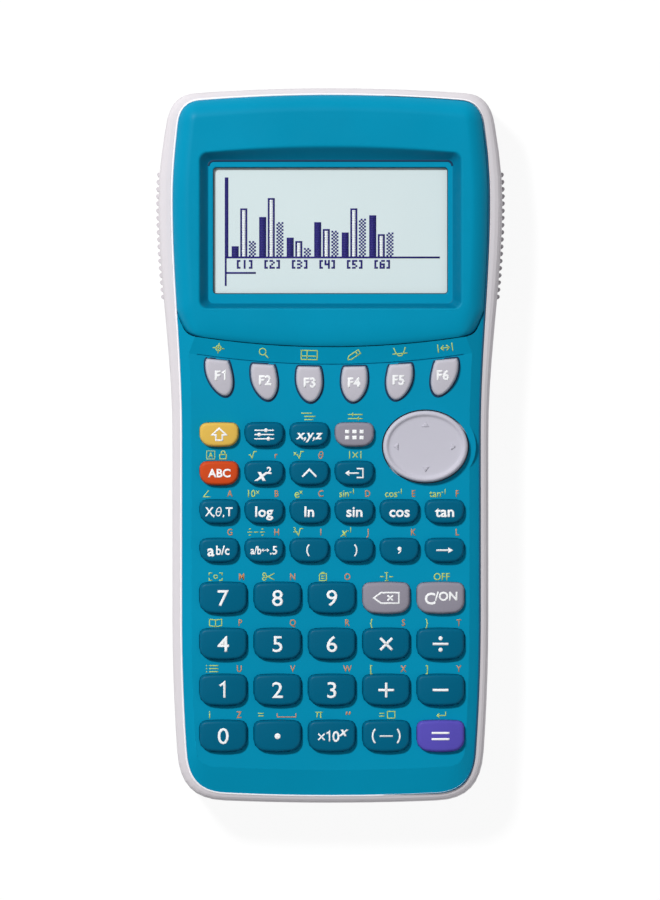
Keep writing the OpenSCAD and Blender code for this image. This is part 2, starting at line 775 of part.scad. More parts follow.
module display_bezel() {
    corner_r = 2;
    ledge_low = view_y - low_ledge;
    ledge_high = view_y + view_h + high_ledge;
    color(TEAL) difference() {
        loft([
            [bezel_outline(0.1, 0, 0.1), deck_z],
            [bezel_outline(0.3, 0, 0.3), deck_z + 0.5],
            [bezel_outline(bezel_slope / 2, 0, bezel_slope / 2), lip_z],
            [bezel_outline(bezel_slope * 0.75, lip_slope / 3, bezel_slope * 0.75), bezel_z - 0.25],
            [bezel_outline(bezel_slope, lip_slope, bezel_slope), bezel_z]
        ]);
        loft([
            [recess_outline(view_w + 2 * view_ledge, ledge_low, ledge_high, 1.2, 0.02),
                ledge_z + ledge_t],
            [recess_outline(recess_w, recess_y, recess_y + recess_h, corner_r, recess_crown),
                bezel_z],
            [recess_outline(recess_w, recess_y, recess_y + recess_h, corner_r, recess_crown),
                bezel_z + 1]
        ]);
        translate([-view_w / 2, view_y, deck_z - 1]) cube([view_w, view_h, 5]);
        translate([-view_w / 2 - window_lap - 0.1, view_y - window_lap - 0.1, deck_z - 1])
            cube([view_w + 2 * window_lap + 0.2, view_h + 2 * window_lap + 0.2, window_t + 1]);
    }
}

module display_window() {
    color([0.85, 0.9, 0.9, 0.4])
        translate([-view_w / 2 - window_lap, view_y - window_lap, deck_z])
            cube([view_w + 2 * window_lap, view_h + 2 * window_lap, window_t]);
}

module lcd_panel() {
    glass_w = view_w + 2 * glass_margin;
    glass_h = view_h + 2 * glass_margin;
    color([0.83, 0.89, 0.89]) {
        translate([-glass_w / 2, view_y - glass_margin, glass_z])
            cube([glass_w, glass_h, lcd_glass_t]);
        translate([-glass_w / 2 - back_margin, view_y - glass_margin - back_margin, sheet_z])
            cube([glass_w + 2 * back_margin, glass_h + 2 * back_margin, lcd_back_t]);
    }
}

module dome(h) {
    cylinder(h = h, r1 = dome_r, r2 = dome_r * 0.7);
}

// Sheet of domes: one under every key, four round the cursor pad's fulcrum
module keypad_rubber() {
    sheet_top = crease_y + 0.5;
    color([0.86, 0.86, 0.84]) {
        difference() {
            intersection() {
                prism(face_outline(skirt_t + board_gap, skirt_t + board_gap, 0), sheet_z,
                    sheet_z + sheet_t);
                translate([-waist_half, low_y, 0])
                    cube([2 * waist_half, sheet_top - low_y, bezel_z]);
            }
            for (p = SCREWS)
                translate([p.x, p.y, 0]) cylinder(h = bezel_z, r = boss_r + pass_gap);
            translate([pad_x, pad_y, 0]) cylinder(h = bezel_z, r = pivot_r + 1);
        }
        for (row = [0:7]) for (column = [0:len(KEY_ROWS[row]) - 1])
            translate([each key_place(row, column), sheet_z]) dome(sheet_t + dome_h);
        for (n = [0:5]) at_f_key(n)
            translate([-f_key_lean * f_key_side(n) / 3, -f_key_h * 0.42, sheet_z])
                dome(sheet_t + dome_h);
        for (a = [0:90:270])
            translate([pad_x + cos(a) * pad_w * 0.34, pad_y + sin(a) * pad_h * 0.34, sheet_z])
                dome(sheet_t + dome_h - pad_drop - 0.05);
    }
}

module circuit_board() {
    edge = skirt_t + board_gap;
    color([0.16, 0.4, 0.2]) difference() {
        prism(face_outline(edge, edge, edge), board_z, sheet_z);
        for (p = SCREWS) translate([p.x, p.y, 0])
            cylinder(h = bezel_z, r = boss_r + pass_gap);
    }
    // processor, memory and the restart switch hang under the board, below the cells' bay
    color([0.12, 0.12, 0.13]) {
        translate([-processor_w / 2, low_y + chips_in, board_z - chip_t])
            cube([processor_w, processor_w, chip_t]);
        translate([memory_x, low_y + chips_in, board_z - chip_t])
            cube([memory_w, processor_w / 2, chip_t]);
    }
    color([0.75, 0.75, 0.78]) translate([0, restart_y, board_z - switch_t]) {
        translate([-switch_w / 2, -switch_w / 2, switch_t / 3])
            cube([switch_w, switch_w, switch_t * 2 / 3]);
        cylinder(h = switch_t / 2, r = switch_w / 4);
    }
}

// Everything that leaves the rear casing's floor open for the cover and the cells
module cover_plan(grow = 0) {
    translate([-bay_half - cover_lap - grow, bay_low - cover_lap - grow])
        square([2 * (bay_half + cover_lap + grow), bay_l + 2 * (cover_lap + grow)]);
}

module finger_notch() {
    translate([0, bay_low - cover_lap - 2.2, foot_t]) scale([1, 0.5, 0.12]) sphere(notch_r);
}

module rear_casing() {
    rim = face_outline(-0.1, -0.1, -0.1);
    bay_top = roof_z + bay_roof;
    color(PALE) difference() {
        union() {
            difference() {
                loft([
                    [body_outline(back_round), foot_t],
                    [body_outline(back_round * 0.45), foot_t + back_round * 0.16],
                    [body_outline(back_round * 0.12), foot_t + back_round * 0.55],
                    [body_outline(0), foot_t + back_round * 1.2],
                    [body_outline(0), rim_z - 2.8],
                    [between(body_outline(0), rim, 0.05), rim_z - 1.7],
                    [between(body_outline(0), rim, 0.15), rim_z - 1],
                    [between(body_outline(0), rim, 0.3), rim_z - 0.55],
                    [between(body_outline(0), rim, 0.55), rim_z - 0.2],
                    [between(body_outline(0), rim, 0.85), rim_z]
                ]);
                prism(rim, back_z, rim_z + 1);
            }
            for (side = [-1, 1]) for (i = [0:ribs - 1])
                let (y = grip_y - grip_to_ribs + (i - (ribs - 1) / 2) * rib_pitch)
                translate([side * (half_width(waist_half, grip_swell, y) + rib_out - rib_r), y,
                    foot_t + back_round]) cylinder(h = rim_z - foot_t - back_round - 4.5,
                        r = rib_r, $fn = 24);
            for (p = FEET) translate([p.x, p.y, 0]) cylinder(h = foot_t + 1, r = foot_r);
            // bay for the cells, with its roof
            translate([-bay_half - bay_wall, bay_low - bay_wall, back_z - 1])
                cube([2 * (bay_half + bay_wall), bay_l + 2 * bay_wall, bay_top - back_z + 1]);
            for (p = SCREWS) translate([p.x, p.y, back_z - 1])
                cylinder(h = boss_meet_z - back_z + 1, r = boss_r + 0.6);
            for (p = POSTS) translate([p.x, p.y, back_z - 1])
                cylinder(h = board_z - back_z + 1, r = post_r);
        }
        translate([-bay_half, bay_low, 0]) cube([2 * bay_half, bay_l, roof_z]);
        translate([0, 0, -1]) linear_extrude(cover_z + 1) cover_plan(cover_gap);
        // slots that the cover's hooks swing into
        for (side = [-1, 1])
            translate([side * hook_x - hook_w / 2 - pass_gap, bay_high - 1, 0]) {
                cube([hook_w + 2 * pass_gap, 1 + cover_lap + cover_gap, back_z + 3]);
                translate([0, 0, back_z])
                    cube([hook_w + 2 * pass_gap, 2 + cover_lap + hook_reach, 3]);
            }
        translate([-latch_w / 2 - pass_gap, bay_low - cover_lap, 0])
            cube([latch_w + 2 * pass_gap, cover_lap + 1, back_z + 2]);
        finger_notch();
        for (p = SCREWS) translate([p.x, p.y, 0]) {
            translate([0, 0, -1]) cylinder(h = screw_seat_z + 1, r = screw_head_r + pass_gap);
            cylinder(h = boss_meet_z + 1, r = screw_r + pass_gap);
        }
        translate([0, restart_y, -1]) cylinder(h = back_z + 2, r = restart_r);
        sockets_way(pass_gap);
    }
}

module battery_cover() {
    w = 2 * (bay_half + cover_lap);
    tongue_l = 5;
    color(PALE) difference() {
        union() {
            translate([0, 0, foot_t]) linear_extrude(cover_t) cover_plan();
            for (side = [-1, 1]) translate([side * hook_x - hook_w / 2, 0, cover_z - eps]) {
                translate([0, bay_high - 0.8, 0]) cube([hook_w, 1, back_t - cover_t + 0.25]);
                translate([0, bay_high - 0.8, back_t - cover_t + 0.25])
                    cube([hook_w, 0.8 + cover_lap + cover_gap + hook_reach, 0.8]);
            }
            translate([-latch_w / 2, bay_low - cover_lap + 0.1, cover_z - eps])
                cube([latch_w, 1.2, back_t - cover_t + 1]);
        }
        // slots that free the latch's tongue, and its grip
        for (side = [-1, 1])
            translate([side * (latch_w / 2 + 0.8) - 0.4, bay_low - cover_lap - 1, 0])
                cube([0.8, tongue_l + 1, 3]);
        finger_notch();
        // thinner panel inside the cover's edge
        translate([1.6 - w / 2, bay_low + tongue_l, foot_t + 0.95])
            cube([w - 3.2, bay_l - tongue_l - 2, 1]);
    }
}

module batteries() {
    for (i = [0:3]) let (x = (i - 1.5) * cell_pitch, flip = i % 2)
        translate([x, bay_low + (flip == 0 ? spring_space : plate_space), cell_z])
            translate([0, flip * cell_l, 0]) rotate([flip == 0 ? -90 : 90, 0, 0]) {
                color([0.75, 0.75, 0.76]) cylinder(h = cell_l - 1, r = cell_d / 2);
                color([0.85, 0.84, 0.8]) cylinder(h = cell_l, r = 1.9);
            }
}

// A spring for each cell's flat end and a plate for its button, clear of the cover's hooks
module battery_contacts() {
    wire = 0.35;
    turns = 3;
    plate_w = 7;
    plate_h = 6.4;
    plate = 0.3;
    play = 0.05;
    room = spring_space - plate - play;
    color([0.8, 0.8, 0.78]) for (i = [0:3]) let (way = i % 2 == 0 ? 1 : -1,
        flat_end = way > 0 ? bay_low : bay_high, button_end = way > 0 ? bay_high : bay_low)
        translate([(i - 1.5) * cell_pitch, 0, cell_z]) {
            for (y = [flat_end + way * plate / 2, button_end - way * plate / 2])
                translate([0, y, 0]) cube([plate_w, plate, plate_h], center = true);
            for (t = [0:turns - 1])
                translate([0, flat_end + way * (plate + room * (t + 0.5) / turns), 0])
                    rotate([90, 0, 0]) rotate_extrude($fn = 24)
                        translate([2 + 0.3 * t, 0]) square([2 * wire, room / turns], center = true);
            translate([0, button_end - way * plate, 0]) rotate([way * 90, 0, 0])
                cylinder(h = plate_space - plate - play, r1 = 2.4, r2 = 1.6, $fn = 24);
        }
}

module casing_screws() {
    color([0.55, 0.55, 0.57]) for (p = SCREWS) translate([p.x, p.y, screw_seat_z]) {
        cylinder(h = screw_l, r = screw_r);
        translate([0, 0, -screw_head_t]) difference() {
            cylinder(h = screw_head_t, r = screw_head_r);
            for (a = [0, 90]) rotate(a) translate([-1.3, -0.25, -1]) cube([2.6, 0.5, 1.7]);
        }
    }
}

// The room that both sockets take, under the board at the upper end
module sockets_way(grow) {
    socket_z = board_z - usb_h / 2;
    far = high_y - 3 - socket_depth;
    translate([usb_x - usb_w / 2 - grow, far, socket_z - usb_h / 2 - grow])
        cube([usb_w + 2 * grow, socket_depth + 9, usb_h + 2 * grow]);
    translate([jack_x, far, board_z - jack_nose_r]) rotate([-90, 0, 0])
        cylinder(h = socket_depth + 9, r = jack_nose_r + grow);
}

module link_ports() {
    mouth = high_y - 0.9;
    color([0.8, 0.8, 0.82]) translate([usb_x, mouth, board_z - usb_h / 2]) difference() {
        translate([-usb_w / 2, -socket_depth, -usb_h / 2]) cube([usb_w, socket_depth, usb_h]);
        translate([0.4 - usb_w / 2, 1 - socket_depth, 0.4 - usb_h / 2])
            cube([usb_w - 0.8, socket_depth, usb_h - 0.8]);
    }
    color([0.1, 0.1, 0.1]) {
        translate([usb_x - 2.6, mouth - socket_depth + 0.5, board_z - usb_h / 2 - 0.5])
            cube([5.2, socket_depth - 1.5, 1]);
        translate([jack_x, mouth, board_z - jack_nose_r]) rotate([90, 0, 0]) difference() {
            cylinder(h = socket_depth, r = jack_nose_r);
            translate([0, 0, -1]) cylinder(h = socket_depth - 1, r = jack_r);
        }
    }
}

// Ring of the cursor pad's oval, grown or shrunk by a margin
function oval(grow) = [for (a = [0:6:354])
    [(pad_w / 2 + grow) * cos(a), (pad_h / 2 + grow) * sin(a)]];

// Oval pad: a dish inside a raised rim, a skirt through the face and a flange under it
module cursor_pad() {
    top = face_z - key_z + key_rise + 0.2;
    floor_z = top - pad_dish;
    color(LILAC_GREY) translate([pad_x, pad_y, key_z]) difference() {
        loft([
            [oval(flange_reach), -pad_drop], [oval(flange_reach), 0.4 - pad_drop],
            [oval(0), 0.4 - pad_drop], [oval(0), top - 0.8], [oval(-0.12), top - 0.3],
            [oval(-0.4), top - 0.05], [oval(-0.65), top], [oval(0.2 - pad_rim), top - 0.12],
            [oval(-pad_rim - 0.3), floor_z + 0.06], [oval(-pad_rim - 0.8), floor_z],
            [oval(-pad_h / 3.2), floor_z - 0.12]
        ]);
        translate([0, 0, pivot_z - key_z]) sphere(pivot_r + pivot_gap, $fn = 48);
    }
}

// Fulcrum with a ball top that the pad rocks on
module cursor_pivot() {
    color(MID_GREY) translate([pad_x, pad_y, 0]) {
        translate([0, 0, sheet_z + 0.2])
            cylinder(h = pivot_z - sheet_z - 0.2, r = pivot_r * 0.8);
        translate([0, 0, pivot_z]) intersection() {
            sphere(pivot_r, $fn = 48);
            translate([-5, -5, -0.9]) cube([10, 10, 10]);
        }
    }
}

function key_colour(name) =
    name == "key_shift" ? [0.87, 0.7, 0.27] :
    name == "key_alpha" ? [0.84, 0.29, 0.08] :
    name == "key_execute" ? [0.33, 0.29, 0.69] :
    name == "key_menu" || name == "key_delete" || name == "key_on_clear" ? MID_GREY :
    DEEP_TEAL;

front_casing();
display_bezel();
display_window();
lcd_panel();
keypad_rubber();
circuit_board();
rear_casing();
battery_cover();
batteries();
battery_contacts();
casing_screws();
link_ports();
cursor_pad();
cursor_pivot();
for (n = [0:5]) color(LILAC_GREY) f_key(n);
for (row = [0:7]) for (column = [0:len(KEY_ROWS[row]) - 1])
    color(key_colour(KEY_ROWS[row][column])) key(row, column);
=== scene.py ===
import math

import bmesh
import bpy
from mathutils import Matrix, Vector
from mathutils.bvhtree import BVHTree
from mathutils.geometry import tessellate_polygon


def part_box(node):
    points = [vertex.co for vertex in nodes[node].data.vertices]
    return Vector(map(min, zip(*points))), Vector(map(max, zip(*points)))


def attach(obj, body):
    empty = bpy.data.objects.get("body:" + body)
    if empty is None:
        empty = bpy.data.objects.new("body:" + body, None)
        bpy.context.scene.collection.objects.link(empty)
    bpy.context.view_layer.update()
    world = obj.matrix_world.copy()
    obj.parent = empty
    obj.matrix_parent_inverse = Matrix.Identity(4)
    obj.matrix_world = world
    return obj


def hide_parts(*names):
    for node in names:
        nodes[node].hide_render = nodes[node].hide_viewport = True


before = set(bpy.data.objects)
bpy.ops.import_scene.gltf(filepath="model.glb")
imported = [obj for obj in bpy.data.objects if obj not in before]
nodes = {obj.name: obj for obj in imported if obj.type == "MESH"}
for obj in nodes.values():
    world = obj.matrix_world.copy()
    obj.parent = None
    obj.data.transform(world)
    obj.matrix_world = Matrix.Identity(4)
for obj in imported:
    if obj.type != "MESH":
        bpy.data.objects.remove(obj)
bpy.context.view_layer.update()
MM = 0.001


# ---------------- shader maths

def linear(red, green, blue):
    """A colour as a paint chart gives it, from 0 to 255, in the shader's own scale."""
    def channel(v):
        v /= 255
        return v / 12.92 if v <= 0.04045 else ((v + 0.055) / 1.055) ** 2.4
    return (channel(red), channel(green), channel(blue), 1)


def toned(colour, share):
    """A darker or lighter tone of a colour."""
    return tuple(min(1, c * share) for c in colour[:3]) + (1,)


def add_node(tree, kind, settings=None, **sockets):
    """Adds a node: its settings first, then the values or links of its sockets. A socket is
    named in words, or as i0, i1 for its place."""
    node = tree.nodes.new(kind)
    for key, value in (settings or {}).items():
        setattr(node, key, value)
    for name, value in sockets.items():
        by_place = name[0] == "i" and name[1:].isdigit()
        plug = node.inputs[int(name[1:]) if by_place else name.replace("_", " ")]
        if isinstance(value, Level):
            tree.links.new(value.socket, plug)
        else:
            plug.default_value = value
    return node


class Level:
    """An output of a node that sums can be written with."""

    def __init__(self, node, output=0):
        self.tree, self.socket = node.id_data, node.outputs[output]

    def calc(self, operation, first, second):
        return Level(add_node(self.tree, "ShaderNodeMath", {"operation": operation},
                              i0=first, i1=second))

    def __add__(self, other):
        return self.calc("ADD", self, other)

    def __sub__(self, other):
        return self.calc("SUBTRACT", self, other)

    def __rsub__(self, other):
        return self.calc("SUBTRACT", other, self)

    def __mul__(self, other):
        return self.calc("MULTIPLY", self, other)

    __radd__, __rmul__ = __add__, __mul__

    def spread(self, low, high):
        """0 at low, 1 at high, and held there."""
        return Level(add_node(self.tree, "ShaderNodeMapRange", {"clamp": True},
                              i0=self, i1=low, i2=high))


class Finish:
    """A material with one Principled shader, and the patterns that vary it."""

    def __init__(self, name, **constants):
        self.material = bpy.data.materials.new(name)
        self.material.use_nodes = True
        self.tree = self.material.node_tree
        self.shader = self.tree.nodes["Principled BSDF"]
        for key, value in constants.items():
            self.shader.inputs[key.replace("_", " ")].default_value = value
        self.place = Level(add_node(self.tree, "ShaderNodeTexCoord"), "Object")

    def noise(self, size, detail=2.0, rough=0.5, place=None):
        """Mottling whose blotches are about size metres across, from 0 to 1."""
        return Level(add_node(self.tree, "ShaderNodeTexNoise", Vector=place or self.place,
                              Scale=1 / size, Detail=detail, Roughness=rough))

    def along(self, axis):
        """How far each point lies along x, y or z."""
        return Level(add_node(self.tree, "ShaderNodeSeparateXYZ", Vector=self.place), axis)

    def mix(self, share, low, high):
        """One colour at share 0, the other at share 1."""
        return Level(add_node(self.tree, "ShaderNodeMix", {"data_type": "RGBA"},
                              i0=share, i6=low, i7=high), 2)

    def feed(self, **levels):
        for key, level in levels.items():
            self.tree.links.new(level.socket, self.shader.inputs[key.replace("_", " ")])

    def bump(self, height, depth):
        self.feed(Normal=Level(add_node(self.tree, "ShaderNodeBump", Height=height,
                                        Strength=1.0, Distance=depth)))


# ---------------- finishes

FACE_TEAL = linear(0, 140, 176)
# Painted shade: a darker teal laid on the bezel's recess walls and under its ledge, where shade
# falls
RECESS_SHADE_TEAL = linear(0, 112, 145)
# Painted shade: the pale shell darkens to a grey from the rim's height down its sides
RIM_PALE, SIDE_SHADE_GREY = linear(216, 211, 215), linear(204, 199, 203)
SIDE_Z, RIM_Z = 13 * MM, 15.3 * MM
DISPLAY_GREY = linear(213, 227, 228)
CELL = 0.4 * MM
SHADE_MARK = "painted_shade"


def moulded(name, colour, rough=0.38, grain=0.35 * MM, depth=0.004 * MM, sheen_level=0.06,
            tint=0.03, wall=None):
    """Injection-moulded plastic: spark-eroded grain, faint mottling, handling on the grain.
    A painted shade colour darkens the places that the mesh marks as shaded recess walls."""
    paint = Finish(name, Specular_IOR_Level=sheen_level)
    cloud = paint.noise(26 * MM, 3)
    fine = paint.noise(grain, 2, 0.6)
    shade = cloud.spread(0.3, 0.7) * 0.7 + fine * 0.3
    tone = paint.mix(shade, toned(colour, 1 - tint), toned(colour, 1 + tint))
    # Painted shade: the marked recess walls take the darker colour
    if wall:
        mark = add_node(paint.tree, "ShaderNodeAttribute", {"attribute_name": SHADE_MARK})
        tone = paint.mix(Level(mark, "Fac"), tone, wall)
    handled = paint.noise(9 * MM, 4).spread(0.35, 0.7)
    paint.feed(Base_Color=tone, Roughness=rough + 0.07 * fine - 0.08 * handled)
    paint.bump(fine, depth)
    return paint.material


def print_and_shade_film(name, colour):
    """Screen-printed ink, with a slightly uneven film; the same film carries the painted shade
    lines.
    """
    ink = Finish(name, Specular_IOR_Level=0.25)
    film = ink.noise(0.5 * MM, 3)
    ink.feed(Base_Color=ink.mix(film.spread(0.25, 0.7), toned(colour, 0.92), colour),
             Roughness=0.5 + 0.12 * film)
    ink.bump(film, 0.003 * MM)
    return ink.material


def metal(name, colour, rough, brushed=False):
    part = Finish(name, Metallic=1.0)
    if brushed:
        stretch = add_node(part.tree, "ShaderNodeVectorMath", {"operation": "MULTIPLY"},
                           i0=part.place, i1=(1, 0.05, 1))
        marks = part.noise(0.2 * MM, 3, place=Level(stretch))
    else:
        marks = part.noise(0.6 * MM, 3)
    part.feed(Base_Color=part.mix(marks, toned(colour, 0.85), colour),
              Roughness=rough + 0.15 * marks)
    part.bump(marks, 0.004 * MM)
    return part.material


def clear_window():
    pane = Finish("clear_window", Base_Color=linear(150, 168, 172), Specular_IOR_Level=0.15)
    haze = pane.noise(18 * MM, 4).spread(0.35, 0.75)
    pane.feed(Alpha=0.006 + 0.008 * haze, Roughness=0.06 + 0.1 * haze)
    pane.bump(pane.noise(12 * MM, 2), 0.01 * MM)
    return pane.material


def display_glass():
    """Reflective display: a faint grid of cells over a pale backing."""
    glass = Finish("display_glass", Specular_IOR_Level=0.3)
    columns, rows = (across.calc("PINGPONG", across * (1 / CELL), 0.5).spread(0.02, 0.07)
                     for across in (glass.along(0), glass.along(1)))
    lines = columns * rows
    cloud = glass.noise(20 * MM, 2)
    glass.feed(Base_Color=glass.mix(0.75 * lines + 0.25 * cloud, toned(DISPLAY_GREY, 1.02),
                                    toned(DISPLAY_GREY, 0.975)),
               Roughness=0.45 + 0.1 * cloud)
    glass.bump(lines, 0.002 * MM)
    return glass.material


def shell_plastic():
    """The pale shell: lightest on the rim that frames the face, with painted shade greying it down
    its sides.
    """
    shell = Finish("pale_plastic", Specular_IOR_Level=0.15)
    grain = shell.noise(0.4 * MM, 2, 0.6)
    cloud = shell.noise(24 * MM, 3)
    # Painted shade, darkest low on the sides
    high = shell.along(2).spread(SIDE_Z, RIM_Z)
    shade = high + 0.05 * (cloud - 0.5) + 0.03 * (grain - 0.5)
    shell.feed(Base_Color=shell.mix(shade, SIDE_SHADE_GREY, RIM_PALE),
               Roughness=0.5 + 0.1 * grain - 0.06 * shell.noise(9 * MM, 4))
    shell.bump(grain, 0.006 * MM)
    return shell.material


def board_green():
    board = Finish("board", Specular_IOR_Level=0.5)
    copper = Level(add_node(board.tree, "ShaderNodeTexBrick", Vector=board.place,
                            Scale=220.0), 1)
    board.feed(Base_Color=board.mix(copper, linear(28, 92, 52), linear(52, 120, 70)),
               Roughness=0.35 + 0.15 * board.noise(1 * MM))
    board.bump(copper, 0.03 * MM)
    return board.material


face_plastic = moulded("teal_plastic", FACE_TEAL, rough=0.42, tint=0.06)
bezel_plastic = moulded("bezel_teal_plastic", FACE_TEAL, rough=0.42, tint=0.06, wall=RECESS_SHADE_TEAL)
key_plastic = moulded("deep_teal_plastic", linear(0, 94, 125), rough=0.36, grain=0.25 * MM,
                      tint=0.06)
pale_plastic = shell_plastic()
# Painted highlight: near-white, lighter than the rim, standing in for the light along the rim's
# inner edge
highlight_edge_plastic = moulded("painted_highlight_edge", linear(246, 244, 247), rough=0.3, grain=0.6 * MM,
                       depth=0.002 * MM, sheen_level=0.5, tint=0.01)
pad_plastic = moulded("lilac_grey_plastic", linear(196, 194, 205), rough=0.42, tint=0.025)
f_key_plastic = moulded("pale_lilac_plastic", linear(194, 191, 200), tint=0.025)
grey_plastic = moulded("grey_plastic", linear(144, 140, 152))
white_ink = print_and_shade_film("white_ink", linear(251, 252, 253))
yellow_ink = print_and_shade_film("yellow_ink", linear(190, 216, 112))
orange_ink = print_and_shade_film("orange_ink", linear(204, 144, 98))
border_ink = print_and_shade_film("border_ink", linear(24, 52, 66))
# Painted shade: a dark teal film standing in for shadow round the function keys and in the
# recess's upper corner
painted_shade_ink = print_and_shade_film("rim_shade", linear(1, 48, 80))
# Painted shade: a dark teal film in the joint between face and rim, on the side away from the lamp
joint_shade_ink = print_and_shade_film("joint_shade", linear(4, 84, 116))
navy_segments = print_and_shade_film("navy_segments", linear(32, 22, 112))
white_segments = print_and_shade_film("white_segments", linear(247, 253, 255))

KEY_PAINT = {
    "shift": moulded("yellow_plastic", linear(221, 182, 84)),
    "alpha": moulded("orange_plastic", linear(201, 74, 32)),
    "execute": moulded("violet_plastic", linear(88, 78, 178), tint=0.04),
    **dict.fromkeys(("menu", "delete", "on_clear"), grey_plastic),
}
NODE_PAINT = {
    "front_casing": face_plastic,
    "display_window": clear_window(),
    "lcd_panel": display_glass(),
    "keypad_rubber": moulded("dome_rubber", linear(222, 222, 217), rough=0.65, tint=0.02),
    "circuit_board": board_green(),
    "rear_casing": pale_plastic,
    "battery_cover": pale_plastic,
    "batteries": metal("cell_jacket", (0.62, 0.62, 0.64, 1), 0.3, brushed=True),
    "battery_contacts": metal("contact_metal", (0.78, 0.77, 0.74, 1), 0.2),
    "casing_screws": metal("screw_steel", (0.5, 0.5, 0.52, 1), 0.3),
    "link_ports": metal("socket_metal", (0.72, 0.72, 0.74, 1), 0.25),
    "cursor_pivot": grey_plastic,
}


def coat(mesh, material):
    """Gives a mesh its material and smooth shading, except over its sharp edges."""
    mesh.materials.clear()
    mesh.materials.append(material)
    mesh.polygons.foreach_set("material_index", [0] * len(mesh.polygons))
    mesh.shade_smooth()
    mesh.set_sharp_from_angle(angle=math.radians(32))


for node, material in NODE_PAINT.items():
    coat(nodes[node].data, material)


# ---------------- meshes

def put(name, data, location=(0, 0, 0)):
    """Puts a new object in the scene."""
    thing = bpy.data.objects.new(name, data)
    thing.location = location
    bpy.context.scene.collection.objects.link(thing)
    return thing


def new_piece(name, points, faces, material, body="body", slot="teal_plastic"):
    """A piece of the scene on its body, from points in millimetres."""
    mesh = bpy.data.meshes.new(name)
    mesh.from_pydata([(x * MM, y * MM, z * MM) for x, y, z in points], [], faces)
    mesh.validate()
    coat(mesh, material)
    piece = put(name, mesh)
    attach(piece, body)
    return piece


def thicken(piece, depth):
    """Gives a flat film a thickness, in millimetres, under its surface."""
    film = piece.modifiers.new("film", "SOLIDIFY")
    film.thickness = depth * MM
    film.offset = -1


def span(node):
    """The two corners of a node's box, in millimetres."""
    return [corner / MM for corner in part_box(node)]


def arc(x, y, r, steps=20, start=0, stop=360):
    """Points along an arc about x, y, between two angles in degrees."""
    turns = [math.radians(start + (stop - start) * i / steps) for i in range(steps + 1)]
    return [(x + r * math.cos(t), y + r * math.sin(t)) for t in turns]


def quarter(x, y, r, start, steps):
    return arc(x, y, r, steps, start, start + 90)


def ring_faces(start, count, rings, closed=False):
    """Faces between rings of count points, and from the last ring to the first if closed."""
    faces = []
    for r in range(rings if closed else rings - 1):
        a, b = start + r * count, start + (r + 1) % rings * count
        faces += [(a + i, a + (i + 1) % count, b + (i + 1) % count, b + i)
                  for i in range(count)]
    return faces


def loft(rings, tip):
    """Points and faces of a closed solid through rings of points, closed at the top by a tip."""
    count = len(rings[0])
    last = (len(rings) - 1) * count
    faces = [tuple(reversed(range(count)))] + ring_faces(0, count, len(rings))
    faces += [(last + i, last + (i + 1) % count, last + count) for i in range(count)]
    return [p for ring in rings for p in ring] + [tip], faces


# Keys, in millimetres: the same plan as the solids, with more points
SHIELD_BULGE, SHIELD_FALL, SHIELD_LEAN, SHIELD_CORNER = 0.7, 3.4, 1.3, 0.45
HIGH_CORNER, LOW_CORNER = 1.5, 2.7
HIGH_BOW, LOW_BOW = 55, 24
FLANGE, FLANGE_T = 0.5, 0.5
DRAFT, EDGE, CROWN = 0.18, 0.6, 38


def bow(x, radius):
    return radius - math.sqrt(radius * radius - x * x)


def key_plan(width, height, grow):
    """Outline of a key: bowed ends, tight upper corners and wide lower ones."""
    a, b = width / 2 + grow, height / 2 + grow
    high_r, low_r = HIGH_CORNER + grow, LOW_CORNER + grow
    xh, xl = a - high_r, a - low_r
    yh = b - bow(xh, HIGH_BOW) - high_r
    yl = low_r + bow(xl, LOW_BOW) - b
    low = [(xl * i / 4, bow(xl * i / 4, LOW_BOW) - b) for i in range(-3, 4)]
    high = [(xh * i / 4, b - bow(xh * i / 4, HIGH_BOW)) for i in range(3, -4, -1)]
    return (low + quarter(xl, yl, low_r, 270, 7) + quarter(xh, yh, high_r, 0, 7) + high
            + quarter(-xh, yh, high_r, 90, 7) + quarter(-xl, yl, low_r, 180, 7))


def f_key_plan(width, height, lean, grow):
    """Shield: a flat edge at y = 0, sides that swell and then round off below."""
    steps = 18
    half, length = width / 2 + grow, height + 2 * grow
    right = arc(half - SHIELD_CORNER, grow - SHIELD_CORNER, SHIELD_CORNER, 4, 90, 0)
    for i in range(1, steps + 1):
        u = math.sin(math.pi / 2 * i / steps)
        x = half * (1 + SHIELD_BULGE * u * (1 - u)) * math.sqrt(max(0, 1 - u ** SHIELD_FALL))
        right.append((x, grow - length * u))
    left = [(-x, y) for x, y in reversed(right[:-1])]
    return [(x + lean * max(0, -y / height) ** SHIELD_LEAN, y)
            for x, y in reversed(right + left)]


caps, places, slots = {}, {}, {}


def key_cap(name, plan, x, y, turn, material, slot):
    """A cap from its plan: a retaining flange, straight sides, a round edge and a crowned
    top, moved to x, y and turned."""
    node = "key_" + name
    foot, top = (corner.z for corner in span(node))

    def crown(px, py):
        return top - (px * px + py * py) / (2 * CROWN)

    rolls = [math.radians(18 * k) for k in range(6)]
    rings = [[(*p, foot + up) for p in plan(grow)]
             for grow, up in ((FLANGE, 0), (FLANGE, FLANGE_T), (DRAFT, FLANGE_T))]
    rings += [[(*p, crown(*p) - drop) for p in plan(grow)]
              for grow, drop in [(0.7 * DRAFT, 2.2 * EDGE),
                                 *((EDGE * (math.cos(r) - 1), EDGE * (1 - math.sin(r)))
                                   for r in rolls)]]
    inner = plan(-EDGE)
    mid = Vector([sum(p[i] for p in inner) / len(inner) for i in (0, 1)])
    for share in (0.92, 0.7, 0.45, 0.2):
        rings.append([(*p, crown(*p)) for p in (mid.lerp(Vector(q), share) for q in inner)])
    points, faces = loft(rings, (*mid, crown(*mid)))
    c, s = math.cos(turn), math.sin(turn)
    piece = new_piece("cap_" + name, [(x + px * c - py * s, y + px * s + py * c, z)
                                      for px, py, z in points], faces, material, node, slot)
    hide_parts(node)
    caps[name], places[name], slots[name] = piece, Vector((x, y)), slot


